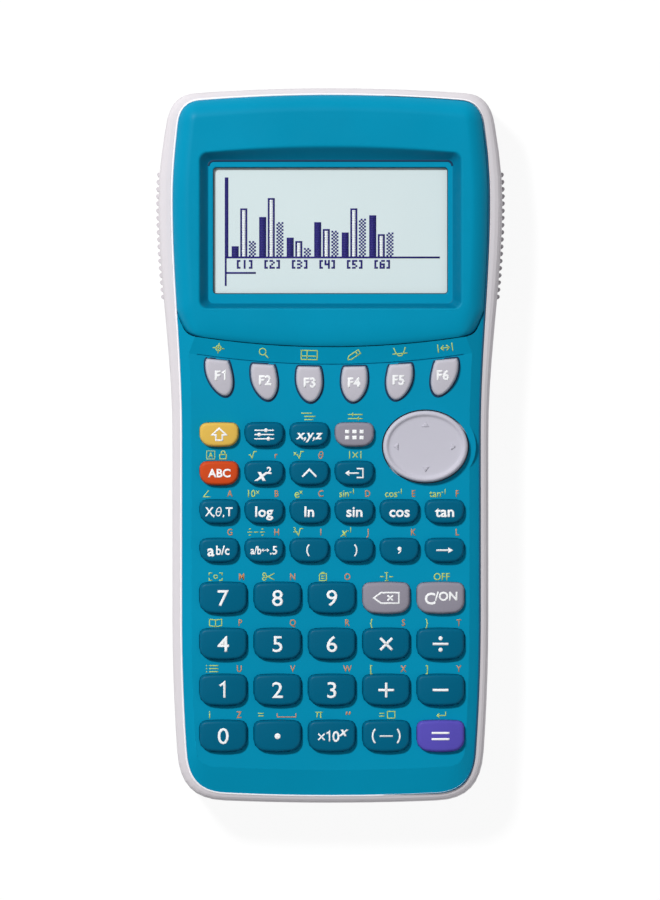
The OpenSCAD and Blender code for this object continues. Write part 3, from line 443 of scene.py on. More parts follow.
# Display bezel and face, in millimetres: the same plans as the solids, with more points
FACE_HALF, FACE_SWELL = 34.95, 2.2
GRIP_Y, GRIP_RUN_LOW, GRIP_RUN_HIGH = 58.01, 56, 33
TAPER_Y, TAPER_RADIUS = -40.01, 460
LIP_CENTRE_Y, LIP_RADIUS, LIP_Y = 228.21, 205, 23.21
BEZEL_CORNER, BEND_WEIGHT, FACE_TOP, HIGH_CROWN = 8.6, 2.2, 82.41, 1.7
FACE_CORNER, CORNER_WEIGHT = 5.5, 1.1
FACE_LOW, LOW_CROWN, FACE_LOW_CORNER = -82.21, 1.1, 9.2
RECESS_W, RECESS_LOW, RECESS_HIGH, RECESS_CROWN, RECESS_CORNER = 61.9, 32.01, 70.41, 1.4, 2
VIEW_W, VIEW_LOW, VIEW_HIGH, VIEW_CORNER = 55.1, 35.61, 65.31, 0.8
LEDGE_SIDE, LEDGE_HIGH, LEDGE_LOW, LEDGE_CORNER, LEDGE_CROWN = 1.1, 1.6, 2.2, 1.2, 0.02
LEDGE_RISE, LEDGE_T, WINDOW_LAP = 1.0, 0.4, 1.3


def half_width(y):
    run = GRIP_RUN_HIGH if y > GRIP_Y else GRIP_RUN_LOW
    return (FACE_HALF + FACE_SWELL * (1 + math.cos(math.pi * min(1, abs(y - GRIP_Y) / run))) / 2
            - max(0, TAPER_Y - y) ** 2 / (2 * TAPER_RADIUS))


def bent(p, c, q, weight, steps):
    """A curve from p to q that c pulls to itself, by its weight."""
    points = []
    for i in range(steps + 1):
        t = i / steps
        shares = (1 - t) ** 2, 2 * t * (1 - t) * weight, t * t
        points.append(tuple((p * shares[0] + c * shares[1] + q * shares[2]) / sum(shares)))
    return points


def rounded(curve, a, step, other, b):
    """A corner that leaves a curve at a and reaches the other curve at b."""
    p, q = curve(a), other(b)
    u, v = curve(a + step) - p, other(b + 0.1) - q
    across = (q - p).cross(v) / u.cross(v)
    return bent(p, p + u * across, q, CORNER_WEIGHT, 14)


def even(curve, start, stop, steps):
    """The points of a curve between start and stop, without the two ends."""
    return [tuple(curve(start + (stop - start) * i / steps)) for i in range(1, steps)]


def mirrored(low, right, high):
    """A closed outline from its middle points and its right half."""
    return [(0, low)] + right + [(0, high)] + [(-x, y) for x, y in reversed(right)]


def bezel_plan(side, low, high):
    """Outline of the bezel with its own inset at the sides, the lip and the upper end."""
    corner = max(1.2, FACE_CORNER - 0.6 * (side + high))
    ys = LIP_Y + BEZEL_CORNER + low / 2
    yh = FACE_TOP - high - HIGH_CROWN - corner
    xs, xh = half_width(ys) - side, half_width(yh) - side
    xe, last = xs - BEZEL_CORNER / 2, xh - corner

    def edge(y):
        return Vector((half_width(y) - side, y))

    def end(x):
        return Vector((x, FACE_TOP - high - HIGH_CROWN * (x / xh) ** 2))

    def lip(x):
        return Vector((x, LIP_CENTRE_Y - math.sqrt((LIP_RADIUS - low) ** 2 - x * x)))

    right = even(lip, 0, xe, 24)
    right += bent(lip(xe), Vector((xs - 2.1, lip(xe).y + 0.6)), Vector((xs, ys)), BEND_WEIGHT, 15)
    right += even(edge, ys, yh, 40)
    right += rounded(edge, yh, -0.1, end, last)
    right += even(end, last, 0, 20)
    return mirrored(lip(0).y, right, FACE_TOP - high)


def face_plan(grow):
    """Outline of the whole teal face."""
    low, high = FACE_LOW - grow, FACE_TOP + grow
    low_r, high_r = FACE_LOW_CORNER + 1.2 * grow, FACE_CORNER + 1.2 * grow

    def side(y):
        return Vector((half_width(y) + grow, y))

    ys, yh = low + LOW_CROWN + low_r, high - HIGH_CROWN - high_r
    low_x, high_x = side(ys).x - low_r, side(yh).x - high_r

    def low_end(x):
        return Vector((x, low + LOW_CROWN * (x / side(ys).x) ** 2))

    def high_end(x):
        return Vector((x, high - HIGH_CROWN * (x / side(yh).x) ** 2))

    right = even(low_end, 0, low_x, 12)
    right += rounded(low_end, low_x, 0.1, side, ys)
    right += even(side, ys, yh, 70)
    right += rounded(side, yh, -0.1, high_end, high_x)
    right += even(high_end, high_x, 0, 12)
    return mirrored(low, right, high)


def opening_plan(width, low, high, corner, crown=0):
    """Rounded rectangle with a crowned upper edge, in even steps."""
    half, low_y, high_y = width / 2 - corner, low + corner, high - crown - corner
    top = [(half * t, high - crown * t * t) for t in (1 - i / 12 for i in range(1, 24))]
    return (quarter(-half, low_y, corner, 180, 10) + quarter(half, low_y, corner, 270, 10)
            + quarter(half, high_y, corner, 0, 10) + top + quarter(-half, high_y, corner, 90, 10))


def ledge_plan(inset=0):
    """Outline of the ledge, where the walls of the recess end."""
    return opening_plan(VIEW_W + 2 * (LEDGE_SIDE - inset), VIEW_LOW - LEDGE_LOW,
                        VIEW_HIGH + LEDGE_HIGH - inset, LEDGE_CORNER, LEDGE_CROWN)


# The bezel's shoulder from its foot up: inset at the sides, inset at the lip, height
SHOULDER = [(0.1, 0, 0), (0.1, 0, 0.35), (0.2, 0, 0.75), (0.4, 0, 1.15), (0.8, 0, 1.7),
            (1.3, 0, 2.22), (1.85, 0.1, 2.7), (2.35, 0.5, 3.02), (2.85, 1.4, 3.28),
            (3.3, 2.6, 3.46), (3.7, 3.8, 3.56), (4.0, 4.6, 3.59), (4.3, 5.2, 3.6)]


def display_bezel():
    """One closed moulding: rounded shoulders, a deep recess and the ledge over the window."""
    deck, top = (corner.z for corner in span("display_bezel"))
    lift = (top - deck) / SHOULDER[-1][2]
    outer = [[(*p, deck + z * lift) for p in bezel_plan(side, lip, side)]
             for side, lip, z in SHOULDER]
    rim = opening_plan(RECESS_W, RECESS_LOW, RECESS_HIGH, RECESS_CORNER, RECESS_CROWN)
    ledge = deck + LEDGE_RISE
    drop = top - ledge

    def wall(share, z):
        return [(*Vector(a).lerp(Vector(b), share), z) for a, b in zip(rim, ledge_plan())]

    def opening(grow, z):
        return [(*p, z) for p in opening_plan(VIEW_W + 2 * grow, VIEW_LOW - grow,
                                              VIEW_HIGH + grow, VIEW_CORNER + grow)]

    # Each ring of the recess, and how much painted shade it takes: most at the foot of the wall
    # and down the opening under the ledge
    recess = [(wall(-0.16, top), 0), (wall(-0.06, top), 0), (wall(0.03, top - 0.03), 0.2),
              (wall(0.1, top - 0.12), 0.5), (wall(0.17, top - 0.3), 0.85),
              (wall(0.33, top - 0.32 * drop), 1), (wall(0.58, top - 0.64 * drop), 1),
              (wall(0.84, ledge + 0.1 * drop), 1.15), (wall(0.93, ledge + 0.02 * drop), 1.15),
              (wall(1, ledge), 0.3), (wall(1.05, ledge), 0), (opening(0.3, ledge), 0),
              (opening(0.12, ledge), 0.2), (opening(0.03, ledge - 0.05), 1),
              (opening(0, ledge - 0.14), 1.3), (opening(0, ledge - LEDGE_T), 1.3),
              (opening(WINDOW_LAP, ledge - LEDGE_T), 1.3), (opening(WINDOW_LAP, deck), 1.3)]
    inner, shades = zip(*recess)
    points = [p for ring in (*outer, *inner) for p in ring]
    n_out, n_in = len(outer[0]), len(inner[0])
    first_in = n_out * len(outer)
    faces = ring_faces(0, n_out, len(outer)) + ring_faces(first_in, n_in, len(inner))
    for out_start, in_start, up in ((first_in - n_out, first_in, True),
                                    (0, first_in + (len(inner) - 1) * n_in, False)):
        loops = [[Vector((*points[s + i][:2], 0)) for i in range(n)]
                 for s, n in ((out_start, n_out), (in_start, n_in))]
        for tri in tessellate_polygon(loops):
            a, b, c = (out_start + i if i < n_out else in_start + i - n_out for i in tri)
            normal = (Vector(points[b]) - Vector(points[a])).cross(
                Vector(points[c]) - Vector(points[a]))
            faces.append((a, b, c) if (normal.z > 0) == up else (a, c, b))
    piece = new_piece("bezel_moulding", points, faces, bezel_plastic)
    # Painted shade, per point: how dark each ring of the recess is painted
    painted_shade = piece.data.attributes.new(SHADE_MARK, "FLOAT", "POINT")
    for i, point in enumerate(painted_shade.data):
        point.value = shades[(i - first_in) // n_in] if i >= first_in else 0
    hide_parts("display_bezel")
    return piece


# Section of the pale rim's inner edge: out from the face, up from the rim
RIM_SECTION = [(-0.1, -0.3), (-0.1, 0.1), (-0.04, 0.17), (0.08, 0.2), (0.22, 0.15),
               (0.3, 0.06), (0.34, -0.1)]


def rim_edge():
    """The inner edge of the pale rim, a near-white bead with a painted highlight, which shows as a
    bright line round the face.
    """
    rim = span("rear_casing")[1].z
    rings = [[(*p, rim + z) for p in face_plan(grow)] for grow, z in RIM_SECTION]
    return new_piece("rim_edge", [p for ring in rings for p in ring],
                     ring_faces(0, len(rings[0]), len(rings), closed=True),
                     highlight_edge_plastic, slot="pale_plastic")


bezel = display_bezel()
bright_edge = rim_edge()

SMALL_ROWS = ["shift option variable menu", "alpha square power exit",
              "variable_x log ln sin cos tan",
              "fraction convert open_bracket close_bracket comma store"]
LARGE_ROWS = ["7 8 9 delete on_clear", "4 5 6 multiply divide", "1 2 3 plus minus",
              "0 point exponent negative execute"]
for name in " ".join(SMALL_ROWS + LARGE_ROWS).split():
    low, high = span("key_" + name)
    wide, tall = high.x - low.x - 2 * FLANGE, high.y - low.y - 2 * FLANGE
    paint = KEY_PAINT.get(name, key_plastic)
    # A second finish of one name is numbered after a dot, and its slot isn't
    key_cap(name, lambda g, w=wide, t=tall: key_plan(w, t, g), *((low + high) / 2).xy, 0, paint,
            paint.name.split(".")[0])

# Function keys hang from the crease, an arc about a far centre
CREASE_CENTRE_Y, CREASE_RADIUS, F_KEY_DROP = 228.21, 209.2, 0.65
F_KEY_W, F_KEY_H, F_KEY_LEAN, F_KEY_TURN = 5.2, 8.2, 2.5, math.radians(5.5)
F_KEY_PITCH, KEYS_ACROSS = 10.75, 0.35
# Each function key, and how far it is from the middle one: -1 for the first, 1 for the last
F_KEYS = {f"f{n}": (n - 3.5) / 2.5 for n in range(1, 7)}


def f_key_outline(side, grow):
    return f_key_plan(F_KEY_W, F_KEY_H, -F_KEY_LEAN * side, grow)


for name, side in F_KEYS.items():
    x = KEYS_ACROSS + 2.5 * side * F_KEY_PITCH
    y = CREASE_CENTRE_Y - math.sqrt(CREASE_RADIUS ** 2 - x * x) - F_KEY_DROP
    key_cap(name, lambda g, s=side: f_key_outline(s, g), x, y, F_KEY_TURN * side,
            f_key_plastic, "lilac_grey_plastic")

# Cursor pad, a dish inside a raised rim. Its section: out from the oval, down from the top
PAD_W, PAD_H, PAD_FLANGE, PAD_FLANGE_T = 19.9, 16.8, 0.5, 0.4
PAD_SECTION = [(0, 1.1), (-0.03, 0.75), (-0.12, 0.42), (-0.28, 0.17), (-0.48, 0.04),
               (-0.68, 0), (-0.88, 0.04), (-1.06, 0.16), (-1.22, 0.32), (-1.4, 0.46),
               (-1.65, 0.53), (-2.1, 0.55), (-3.5, 0.6), (-5.25, 0.65), (-7.0, 0.67)]
pad_low, pad_high = span("cursor_pad")
pad_x, pad_y = ((pad_low + pad_high) / 2).xy


def oval(grow, z, steps=96):
    turns = [2 * math.pi * i / steps for i in range(steps)]
    return [(pad_x + (PAD_W / 2 + grow) * math.cos(t),
             pad_y + (PAD_H / 2 + grow) * math.sin(t), z) for t in turns]


pad_rings = [oval(PAD_FLANGE, pad_low.z), oval(PAD_FLANGE, pad_low.z + PAD_FLANGE_T),
             oval(0, pad_low.z + PAD_FLANGE_T),
             *(oval(grow, pad_high.z - drop) for grow, drop in PAD_SECTION)]
pad = new_piece("pad_dish", *loft(pad_rings, (pad_x, pad_y, pad_rings[-1][0][2])),
                pad_plastic, "cursor_pad", "lilac_grey_plastic")
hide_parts("cursor_pad")


# ---------------- legends and prints

# In millimetres: the steps of a stroke, and the mesh that cuts a print
STROKE_STEP, CUT_STEP = 0.6, 0.5
ABOVE_ALL = 50 * MM
# A capital's share of the size of its letters
CAP_SHARE = 0.686


def surface_of(*objects):
    """The surface that a film is laid on, in metres."""
    points, faces = [], []
    for o in objects:
        start = len(points)
        points += [v.co.copy() for v in o.data.vertices]
        faces += [[start + i for i in f.vertices] for f in o.data.polygons]
    return BVHTree.FromPolygons(points, faces)


class ThinFilm:
    """Flat shapes about a place, laid on a surface as one thin film, in millimetres: print, and
    also the painted shade lines.
    """

    def __init__(self, x=0, y=0):
        self.points, self.faces = [], []
        self.move(x, y)

    def move(self, x, y):
        self.x, self.y = x, y

    def add(self, points, faces):
        start = len(self.points)
        self.points += points
        self.faces += [tuple(start + i for i in f) for f in faces]

    def shape(self, corners, x=0, y=0):
        self.add([(self.x + x + px, self.y + y + py) for px, py in corners],
                 [tuple(range(len(corners)))])

    def dot(self, r, x=0, y=0):
        self.shape(arc(x, y, r)[:-1])

    def text(self, words, cap, condense, bold, x=0, y=0, slant=0):
        """Words whose capitals are cap high, with their middle at x, y."""
        curve = bpy.data.curves.new("words", "FONT")
        curve.body, curve.resolution_u = words, 3
        curve.offset, curve.shear = bold, slant
        holder = put("words", curve)
        bpy.context.view_layer.update()
        graph = bpy.context.evaluated_depsgraph_get()
        mesh = bpy.data.meshes.new_from_object(holder.evaluated_get(graph))
        bpy.data.objects.remove(holder)
        size = cap / CAP_SHARE
        left, right = (end(v.co.x for v in mesh.vertices) for end in (min, max))
        middle = left + (right - left) / 2
        self.add([(self.x + x + (v.co.x - middle) * size * condense,
                   self.y + y + (v.co.y - CAP_SHARE / 2) * size) for v in mesh.vertices],
                 [tuple(f.vertices) for f in mesh.polygons])
        bpy.data.meshes.remove(mesh)

    def line(self, path, width, closed=False, scale=1, tilt=0):
        """A stroke of even width along a path, in short steps that follow the surface."""
        c, s = math.cos(tilt), math.sin(tilt)
        stops = [Vector((self.x + (x * c - y * s) * scale, self.y + (x * s + y * c) * scale))
                 for x, y in path]
        if closed:
            stops.append(stops[0])
        path = []
        for a, b in zip(stops, stops[1:]):
            steps = math.ceil((b - a).length / STROKE_STEP)
            path += [a.lerp(b, i / steps) for i in range(steps)]
        if not closed:
            path.append(stops[-1])
        n = len(path)
        sides = []
        for i, here in enumerate(path):
            ways = []
            if i or closed:
                ways.append((here - path[i - 1]).normalized())
            if i < n - 1 or closed:
                ways.append((path[(i + 1) % n] - here).normalized())
            way = (ways[0] + ways[-1]).normalized()
            across = Vector((-way.y, way.x))
            miter = min(2.0, 1 / max(0.2, way.dot(ways[0])))
            reach = across * (width / 2 * miter)
            sides += [here + reach, here - reach]
        self.add(sides, [(2 * i + 1, 2 * ((i + 1) % n) + 1, 2 * ((i + 1) % n), 2 * i)
                         for i in range(n if closed else n - 1)])

    def one(self, cap, weight, x=0, y=0):
        """The figure 1: a stem with a flag."""
        self.line([(x + px * cap, y + py * cap) for px, py in
                   ((-0.22, 0.27), (0.02, 0.43), (0.08, 0.5), (0.08, -0.5))], weight)

    def theta(self, cap, weight, x=0):
        """The Greek letter, leaning."""
        turns = [math.pi * i / 12 for i in range(24)]
        self.line([(x + cap * (0.28 * math.cos(t) + 0.08 * math.sin(t)), cap / 2 * math.sin(t))
                   for t in turns], weight, closed=True)
        self.line(dash(x - 0.26 * cap, x + 0.26 * cap), weight)

    def sign(self, kind, x, y, size=1, tilt=0):
        """A small sign, with its middle moved to x, y."""
        self.move(x, y)
        for path in SIGNS[kind]:
            self.line(path, SIGN_STROKE, False, size, tilt)

    def cut(self, step):
        """Cuts the shapes along a square mesh, so that they can follow a curved surface."""
        mesh = bmesh.new()
        corners = [mesh.verts.new((x, y, 0)) for x, y in self.points]
        for face in self.faces:
            mesh.faces.new([corners[i] for i in face])
        for axis in (0, 1):
            reach = [p[axis] for p in self.points]
            normal = (1 - axis, axis, 0)
            for i in range(math.ceil(min(reach) / step), math.ceil(max(reach) / step)):
                bmesh.ops.bisect_plane(mesh, geom=mesh.verts[:] + mesh.edges[:] + mesh.faces[:],
                                       plane_co=Vector(normal) * (i * step), plane_no=normal)
        mesh.verts.index_update()
        self.points = [(v.co.x, v.co.y) for v in mesh.verts]
        self.faces = [tuple(v.index for v in f.verts) for f in mesh.faces]
        mesh.free()

    def lay(self, name, surface, material, body="body", slot="teal_plastic", lift=0.02,
            thick=0.02, step=None):
        """Makes the film, print and painted shade alike, lift above its surface."""
        if step:
            self.cut(step)
        points, level = [], 0
        for x, y in self.points:
            hit = surface.ray_cast(Vector((x * MM, y * MM, ABOVE_ALL)), Vector((0, 0, -1)))[0]
            level = hit.z / MM if hit else level
            points.append((x, y, level + lift))
        thicken(new_piece(name, points, self.faces, material, body, slot), thick)


def dash(x0, x1, y=0):
    return [(x0, y), (x1, y)]


def stem(y0, y1, x=0):
    return [(x, y0), (x, y1)]


def box(x0, y0, x1, y1):
    """A box whose last stroke runs on a little, so that its corner is full."""
    return [(x0, y1), (x1, y1), (x1, y0), (x0, y0), (x0, y1 + 0.08)]


# The white legends of the keys, each as its marks about the key's middle
DIGIT_CAP, F_CAP, F_DROP, F_SHIFT = 3.65, 2.15, -3.65, 0.8
BOTH_WAYS = (-1, 1)
LINE, TEXT, SHAPE, DOT, ONE, THETA = (ThinFilm.line, ThinFilm.text, ThinFilm.shape, ThinFilm.dot, ThinFilm.one,
                                      ThinFilm.theta)
DASH = (LINE, dash(-1.85, 1.85), 0.56)
LEGENDS = {
    "shift": [(LINE, [(0, 1.45), (1.7, -0.1), (0.75, -0.1), (0.75, -1.35), (-0.75, -1.35),
                      (-0.75, -0.1), (-1.7, -0.1)], 0.38, True)],
    "option": [mark for knob, y in ((1.0, -1), (-1.2, 0), (0.4, 1))
               for mark in ((LINE, dash(-2.3, 2.3, y), 0.28), (DOT, 0.46, knob, y))],
    "variable": [(TEXT, "x,y,z", 2.1, 1.05, 0.024, 0, 0, 0.2)],
    "menu": [(SHAPE, [(-0.5, 0.42), (-0.5, -0.42), (0.5, -0.42), (0.5, 0.42)], x, y)
             for x in (-1.7, 0, 1.7) for y in (-0.7, 0.7)],
    "alpha": [(TEXT, "ABC", 1.85, 1.0, 0.03)],
    "square": [(TEXT, "x", 2.9, 1.1, 0.024, -0.6, -0.3, 0.35),
               (TEXT, "2", 1.5, 1.05, 0.035, 1.15, 0.65)],
    "power": [(LINE, [(-1.65, -0.85), (0, 0.85), (1.65, -0.85)], 0.45)],
    "exit": [(LINE, [(0.5, -1.05), (2.0, -1.05), (2.0, 1.05), (0.5, 1.05)], 0.34),
             (LINE, dash(1.1, -1.4), 0.34),
             (SHAPE, [(-1.2, 0.72), (-2.2, 0), (-1.2, -0.72)])],
    "variable_x": [(TEXT, "X", 2.0, 0.9, 0.02, -2.3), (THETA, 2.0, 0.25, -0.1),
                   (TEXT, "T", 2.0, 0.95, 0.02, 2.35),
                   *((LINE, [(x, -0.75), (x - 0.2, -1.35)], 0.3) for x in (-1.15, 1.1))],
    **{name: [(TEXT, name, 2.35, 1.05, 0.024)] for name in ("log", "ln", "sin", "cos", "tan")},
    "fraction": [(TEXT, "a", 2.6, 1.0, 0.024, -1.95, -0.05),
                 (TEXT, "b/c", 2.05, 0.9, 0.024, 0.85)],
    "convert": [(TEXT, "a/b", 1.8, 0.82, 0.024, -1.95), (TEXT, ".5", 1.9, 0.95, 0.024, 2.2),
                (LINE, dash(-0.3, 0.8), 0.26),
                *((SHAPE, [(0.4 * way, 0.42 * way), (0.4 * way, -0.42 * way),
                           (0.95 * way, 0)], 0.25) for way in BOTH_WAYS)],
    **{name: [(LINE, [(way * x, y) for x, y in arc(-1.45, 0, 2.0, 10, -43, 43)], 0.34)]
       for name, way in (("open_bracket", -1), ("close_bracket", 1))},
    "comma": [(DOT, 0.48, 0, 0.35), (LINE, [(0.32, 0.3), (0.22, -0.3), (-0.28, -0.75)], 0.3)],
    "store": [(LINE, dash(-1.95, 1.0), 0.4), (SHAPE, [(0.85, 0.68), (0.85, -0.68), (2.0, 0)])],
    "delete": [(LINE, [(-1.2, 1.25), (3.0, 1.25), (3.0, -1.25), (-1.2, -1.25), (-2.9, 0)],
                0.4, True),
               *((LINE, [(0.3, 0.62 * way), (1.6, -0.62 * way)], 0.4) for way in BOTH_WAYS)],
    "on_clear": [(TEXT, "C", 2.6, 1.0, 0.026, -2.45, -0.15),
                 (TEXT, "/ON", 2.0, 0.98, 0.03, 1.3, 0.4)],
    "multiply": [(LINE, [(-1.4, -1.4 * way), (1.4, 1.4 * way)], 0.6) for way in BOTH_WAYS],
    "divide": [DASH, *((DOT, 0.5, 0, 1.35 * way) for way in BOTH_WAYS)],
    "plus": [DASH, (LINE, stem(-1.75, 1.75), 0.56)],
    "minus": [DASH],
    "point": [(DOT, 0.7, 0, -0.05)],
    "exponent": [*((LINE, [(-3.2, -0.75 * way - 0.2), (-1.7, 0.75 * way - 0.2)], 0.34)
                   for way in BOTH_WAYS),
                 (ONE, 2.4, 0.36, -0.75, -0.1), (TEXT, "0", 2.4, 1.0, 0.018, 0.95, -0.1),
                 (TEXT, "x", 2.1, 1.0, 0.03, 2.75, 1.1, 0.3)],
    "negative": [(LINE, dash(-1.55, 1.55), 0.38),
                 *((LINE, [(way * x, y) for x, y in arc(0.7, 0, 2.5, 12, -42, 42)], 0.38)
                   for way in BOTH_WAYS)],
    "execute": [(LINE, dash(-2.1, 2.1, y), 0.5) for y in (-0.72, 0.72)],
    **{digit: [(TEXT, digit, DIGIT_CAP, 1.08, 0.006)] for digit in "023456789"},
    "1": [(ONE, DIGIT_CAP, 0.52)],
    **{name: [(TEXT, name.upper(), F_CAP, 1.02, 0.034, -F_SHIFT * side, F_DROP)]
       for name, side in F_KEYS.items()},
    "f1": [(TEXT, "F", F_CAP, 1.05, 0.034, F_SHIFT - 0.7, F_DROP),
           (ONE, F_CAP, 0.46, F_SHIFT + 0.8, F_DROP)],
}
for name, cap in caps.items():
    legend = ThinFilm(*places[name])
    for mark, *how in LEGENDS[name]:
        mark(legend, *how)
    legend.lay("legend_" + name, surface_of(cap), white_ink, "key_" + name, slots[name],
               thick=0.03, step=CUT_STEP)

# Arrows moulded on the pad: where each points, and how far out it is
arrows = ThinFilm(pad_x, pad_y)
for turn, reach in ((0, 6.4), (90, 5.1), (180, 6.8), (270, 5.2)):
    c, s = math.cos(math.radians(turn)), math.sin(math.radians(turn))
    triangle = [(reach + 0.75, 0), (reach - 0.45, 0.85), (reach - 0.45, -0.85)]
    arrows.shape([(x * c - y * s, x * s + y * c) for x, y in triangle])
arrows.lay("pad_arrows", surface_of(pad), pad_plastic, "cursor_pad", "lilac_grey_plastic",
           lift=0.12, thick=0.18, step=CUT_STEP)

# Shadowed rim of each function key's opening
rim_shade = ThinFilm()
for name, side in F_KEYS.items():
    rim_shade.move(*places[name])
    rim_shade.line(f_key_outline(side, 0.27), 0.44, closed=True, tilt=F_KEY_TURN * side)
rim_shade.lay("f_key_rims", surface_of(nodes["front_casing"]), painted_shade_ink)

# Painted shadow where the recess's upper wall meets the ledge
ledge_corner = ThinFilm()
ledge_corner.line(sorted(p for p in ledge_plan(0.05) if p[1] > VIEW_HIGH + 0.2), 0.5)
ledge_corner.lay("ledge_corner", surface_of(bezel), painted_shade_ink)

# Shadowed joint between the face and the rim: widest down the right side, and gone at the left
JOINT_NEAR, JOINT_FAR, JOINT_START, SIDE_FADE, TOP_FADE = -0.04, 0.32, 12, 21, 14
joint_points = []
for near, far in zip(face_plan(JOINT_NEAR), face_plan(JOINT_FAR)):
    share = min(1, (near[0] - JOINT_START) / SIDE_FADE, (FACE_TOP - near[1]) / TOP_FADE)
    if share > 0:
        joint_points += [near, Vector(near).lerp(Vector(far), share)]
face_joint = ThinFilm()
face_joint.add(joint_points, [(i, i + 1, i + 3, i + 2)
                              for i in range(0, len(joint_points) - 2, 2)])
face_joint.lay("face_joint", surface_of(bright_edge), joint_shade_ink, lift=0.16, thick=0.16)

# Dark border printed round the window
border = ThinFilm()
border.line(opening_plan(VIEW_W + 0.05, VIEW_LOW, VIEW_HIGH, VIEW_CORNER), 0.34, closed=True)
border.lay("window_border", surface_of(nodes["display_window"]), border_ink,
           slot="clear_window")


# Small signs for the second meaning of a key. Each is a list of strokes, about 1.8 high.
SIGNS = {
    "cross_hair": [arc(0, 0, 0.5), dash(-1.1, 1.1), stem(-0.95, 0.95)],
    "magnifier": [arc(-0.25, 0.2, 0.62), [(0.2, -0.28), (0.95, -0.95)]],
    "view": [box(-1.5, -0.85, 1.5, 0.85), dash(-1.5, 1.5, -0.2), stem(-0.85, 0.85, -0.4)],
    "pencil": [[(-1.3, -0.85), (-1.1, -0.2), (0.7, 0.95), (1.15, 0.3), (-0.65, -0.85),
                (-1.36, -0.85)], [(0.2, 0.62), (0.65, -0.02)]],
    "root": [dash(-1.4, 1.4, -0.2), [(-1.1, 0.95), (-0.75, 0), (-0.3, -0.6), (0.3, -0.6),
                                    (0.75, 0), (1.1, 0.95)]],
    "swap": [dash(-0.7, 0.7), [(-0.25, 0.5), (-0.8, 0), (-0.25, -0.5)],
             [(0.25, 0.5), (0.8, 0), (0.25, -0.5)], stem(0.8, -0.8, -1.35), stem(0.8, -0.8, 1.35)],
    "steps": [dash(-1.6, 0.9, 0.75), dash(-0.9, 1.7), dash(-0.9, 1.2, -0.75)],
    "sliders": [dash(-1.7, 1.7, 0.45), dash(-1.7, 1.7, -0.5), stem(0.85, 0.05, -0.6),
                stem(-0.1, -0.9, 0.7)],
    "lock": [box(-0.75, -0.9, 0.75, 0.1),
             [(-0.45, 0.1), (-0.45, 0.6), (-0.2, 0.9), (0.2, 0.9), (0.45, 0.6), (0.45, 0.1)]],
    "leave": [[(-0.6, -0.65), (0.6, 0.65)], [(-0.6, 0.65), (0.6, -0.65)],
              stem(0.9, -0.9, -1.3), stem(0.9, -0.9, 1.3)],
    "corners": [*([(1.5 * h, 0.3 * v), (1.5 * h, 0.85 * v), (0.8 * h, 0.85 * v)]
                  for v in BOTH_WAYS for h in BOTH_WAYS), arc(0, 0, 0.4, 12)],
    "snip": [arc(-1.0, 0.5, 0.36, 12), arc(-1.0, -0.5, 0.36, 12),
             [(-0.7, 0.32), (1.3, -0.75)], [(-0.7, -0.32), (1.3, 0.75)]],
    "board": [box(-0.8, -0.9, 0.8, 0.7), *(dash(-0.4, 0.4, y) for y in (0.95, 0.1, -0.4))],
    "insert": [dash(-0.4, 0.4, 0.9), dash(-0.4, 0.4, -0.9), stem(0.9, -0.9),
               dash(-1.5, -0.6), dash(0.6, 1.5)],
    "book": [[(-1.4, 0.8), (0, 0.6), (1.4, 0.8), (1.4, -0.7), (0, -0.9), (-1.4, -0.7),
              (-1.4, 0.88)], stem(0.6, -0.9)],
    "rows": [dash(*ends, y) for ends in ((-0.7, 1.4), (-1.4, -1.15)) for y in (0.7, 0, -0.7)],
    "result": [dash(-1.9, -0.7, 0.3), dash(-1.9, -0.7, -0.35), box(0, -0.8, 1.7, 0.75)],
    "space": [[(-2.0, 0.3), (-2.0, -0.5), (2.0, -0.5), (2.0, 0.3)]],
    "enter": [[(1.0, 0.7), (1.0, -0.2), (-0.9, -0.2)], [(-0.4, 0.3), (-1.0, -0.2), (-0.4, -0.7)]],
    "angle": [[(0.55, 0.75), (-0.7, -0.75), (0.85, -0.75)]],
    "radical": [[(-0.9, -0.05), (-0.6, 0.1), (-0.15, -0.85), (0.25, 0.8), (0.95, 0.8)]],
    "equals": [dash(-0.65, 0.65, 0.3), dash(-0.65, 0.65, -0.3)],
    "fraction": [dash(-2.0, -0.9), dash(0.9, 2.0), dash(-0.5, 0.5),
                 *(dash(x, x + 0.5, y) for x in (-1.7, 1.2) for y in (0.7, -0.7))],
    "pi": [dash(-0.8, 0.8, 0.55), [(-0.4, 0.55), (-0.5, -0.75)],
           [(0.35, 0.55), (0.35, -0.6), (0.6, -0.75)]],
}
SIGN_STROKE, LABEL_CAP = 0.23, 1.65
yellow, orange = ThinFilm(), ThinFilm()

# Signs along the slanted band, over the function keys
BAND_RADIUS = CREASE_RADIUS - 2.15
BAND_SIGNS = ("cross_hair", "magnifier", "view", "pencil", "root", "swap")
for side, kind in zip(F_KEYS.values(), BAND_SIGNS):
    lean = math.asin((KEYS_ACROSS + 2.5 * side * F_KEY_PITCH) / CREASE_RADIUS)
    yellow.sign(kind, BAND_RADIUS * math.sin(lean),
                CREASE_CENTRE_Y - BAND_RADIUS * math.cos(lean), 1.25, lean)

# Over the keys: (key, what, how far to the right of the key's middle)
OVER_IN_YELLOW = [
    ("variable", "steps", -0.3), ("menu", "sliders", 0.2), ("alpha", "lock", 0.9),
    ("square", "radical", -2.7), ("power", "radical", -2.2), ("exit", "leave", 0.2),
    ("variable_x", "angle", -3.0), ("convert", "fraction", -1.9),
    ("open_bracket", "radical", -2.4), ("7", "corners", -1.8), ("8", "snip", -2.1),
    ("9", "board", -2.1), ("delete", "insert", 0.1), ("4", "book", -1.8), ("1", "rows", -2.6),
    ("point", "equals", -3.9), ("exponent", "pi", -3.0), ("negative", "result", 0.3),
    ("execute", "enter", 0.2),
]
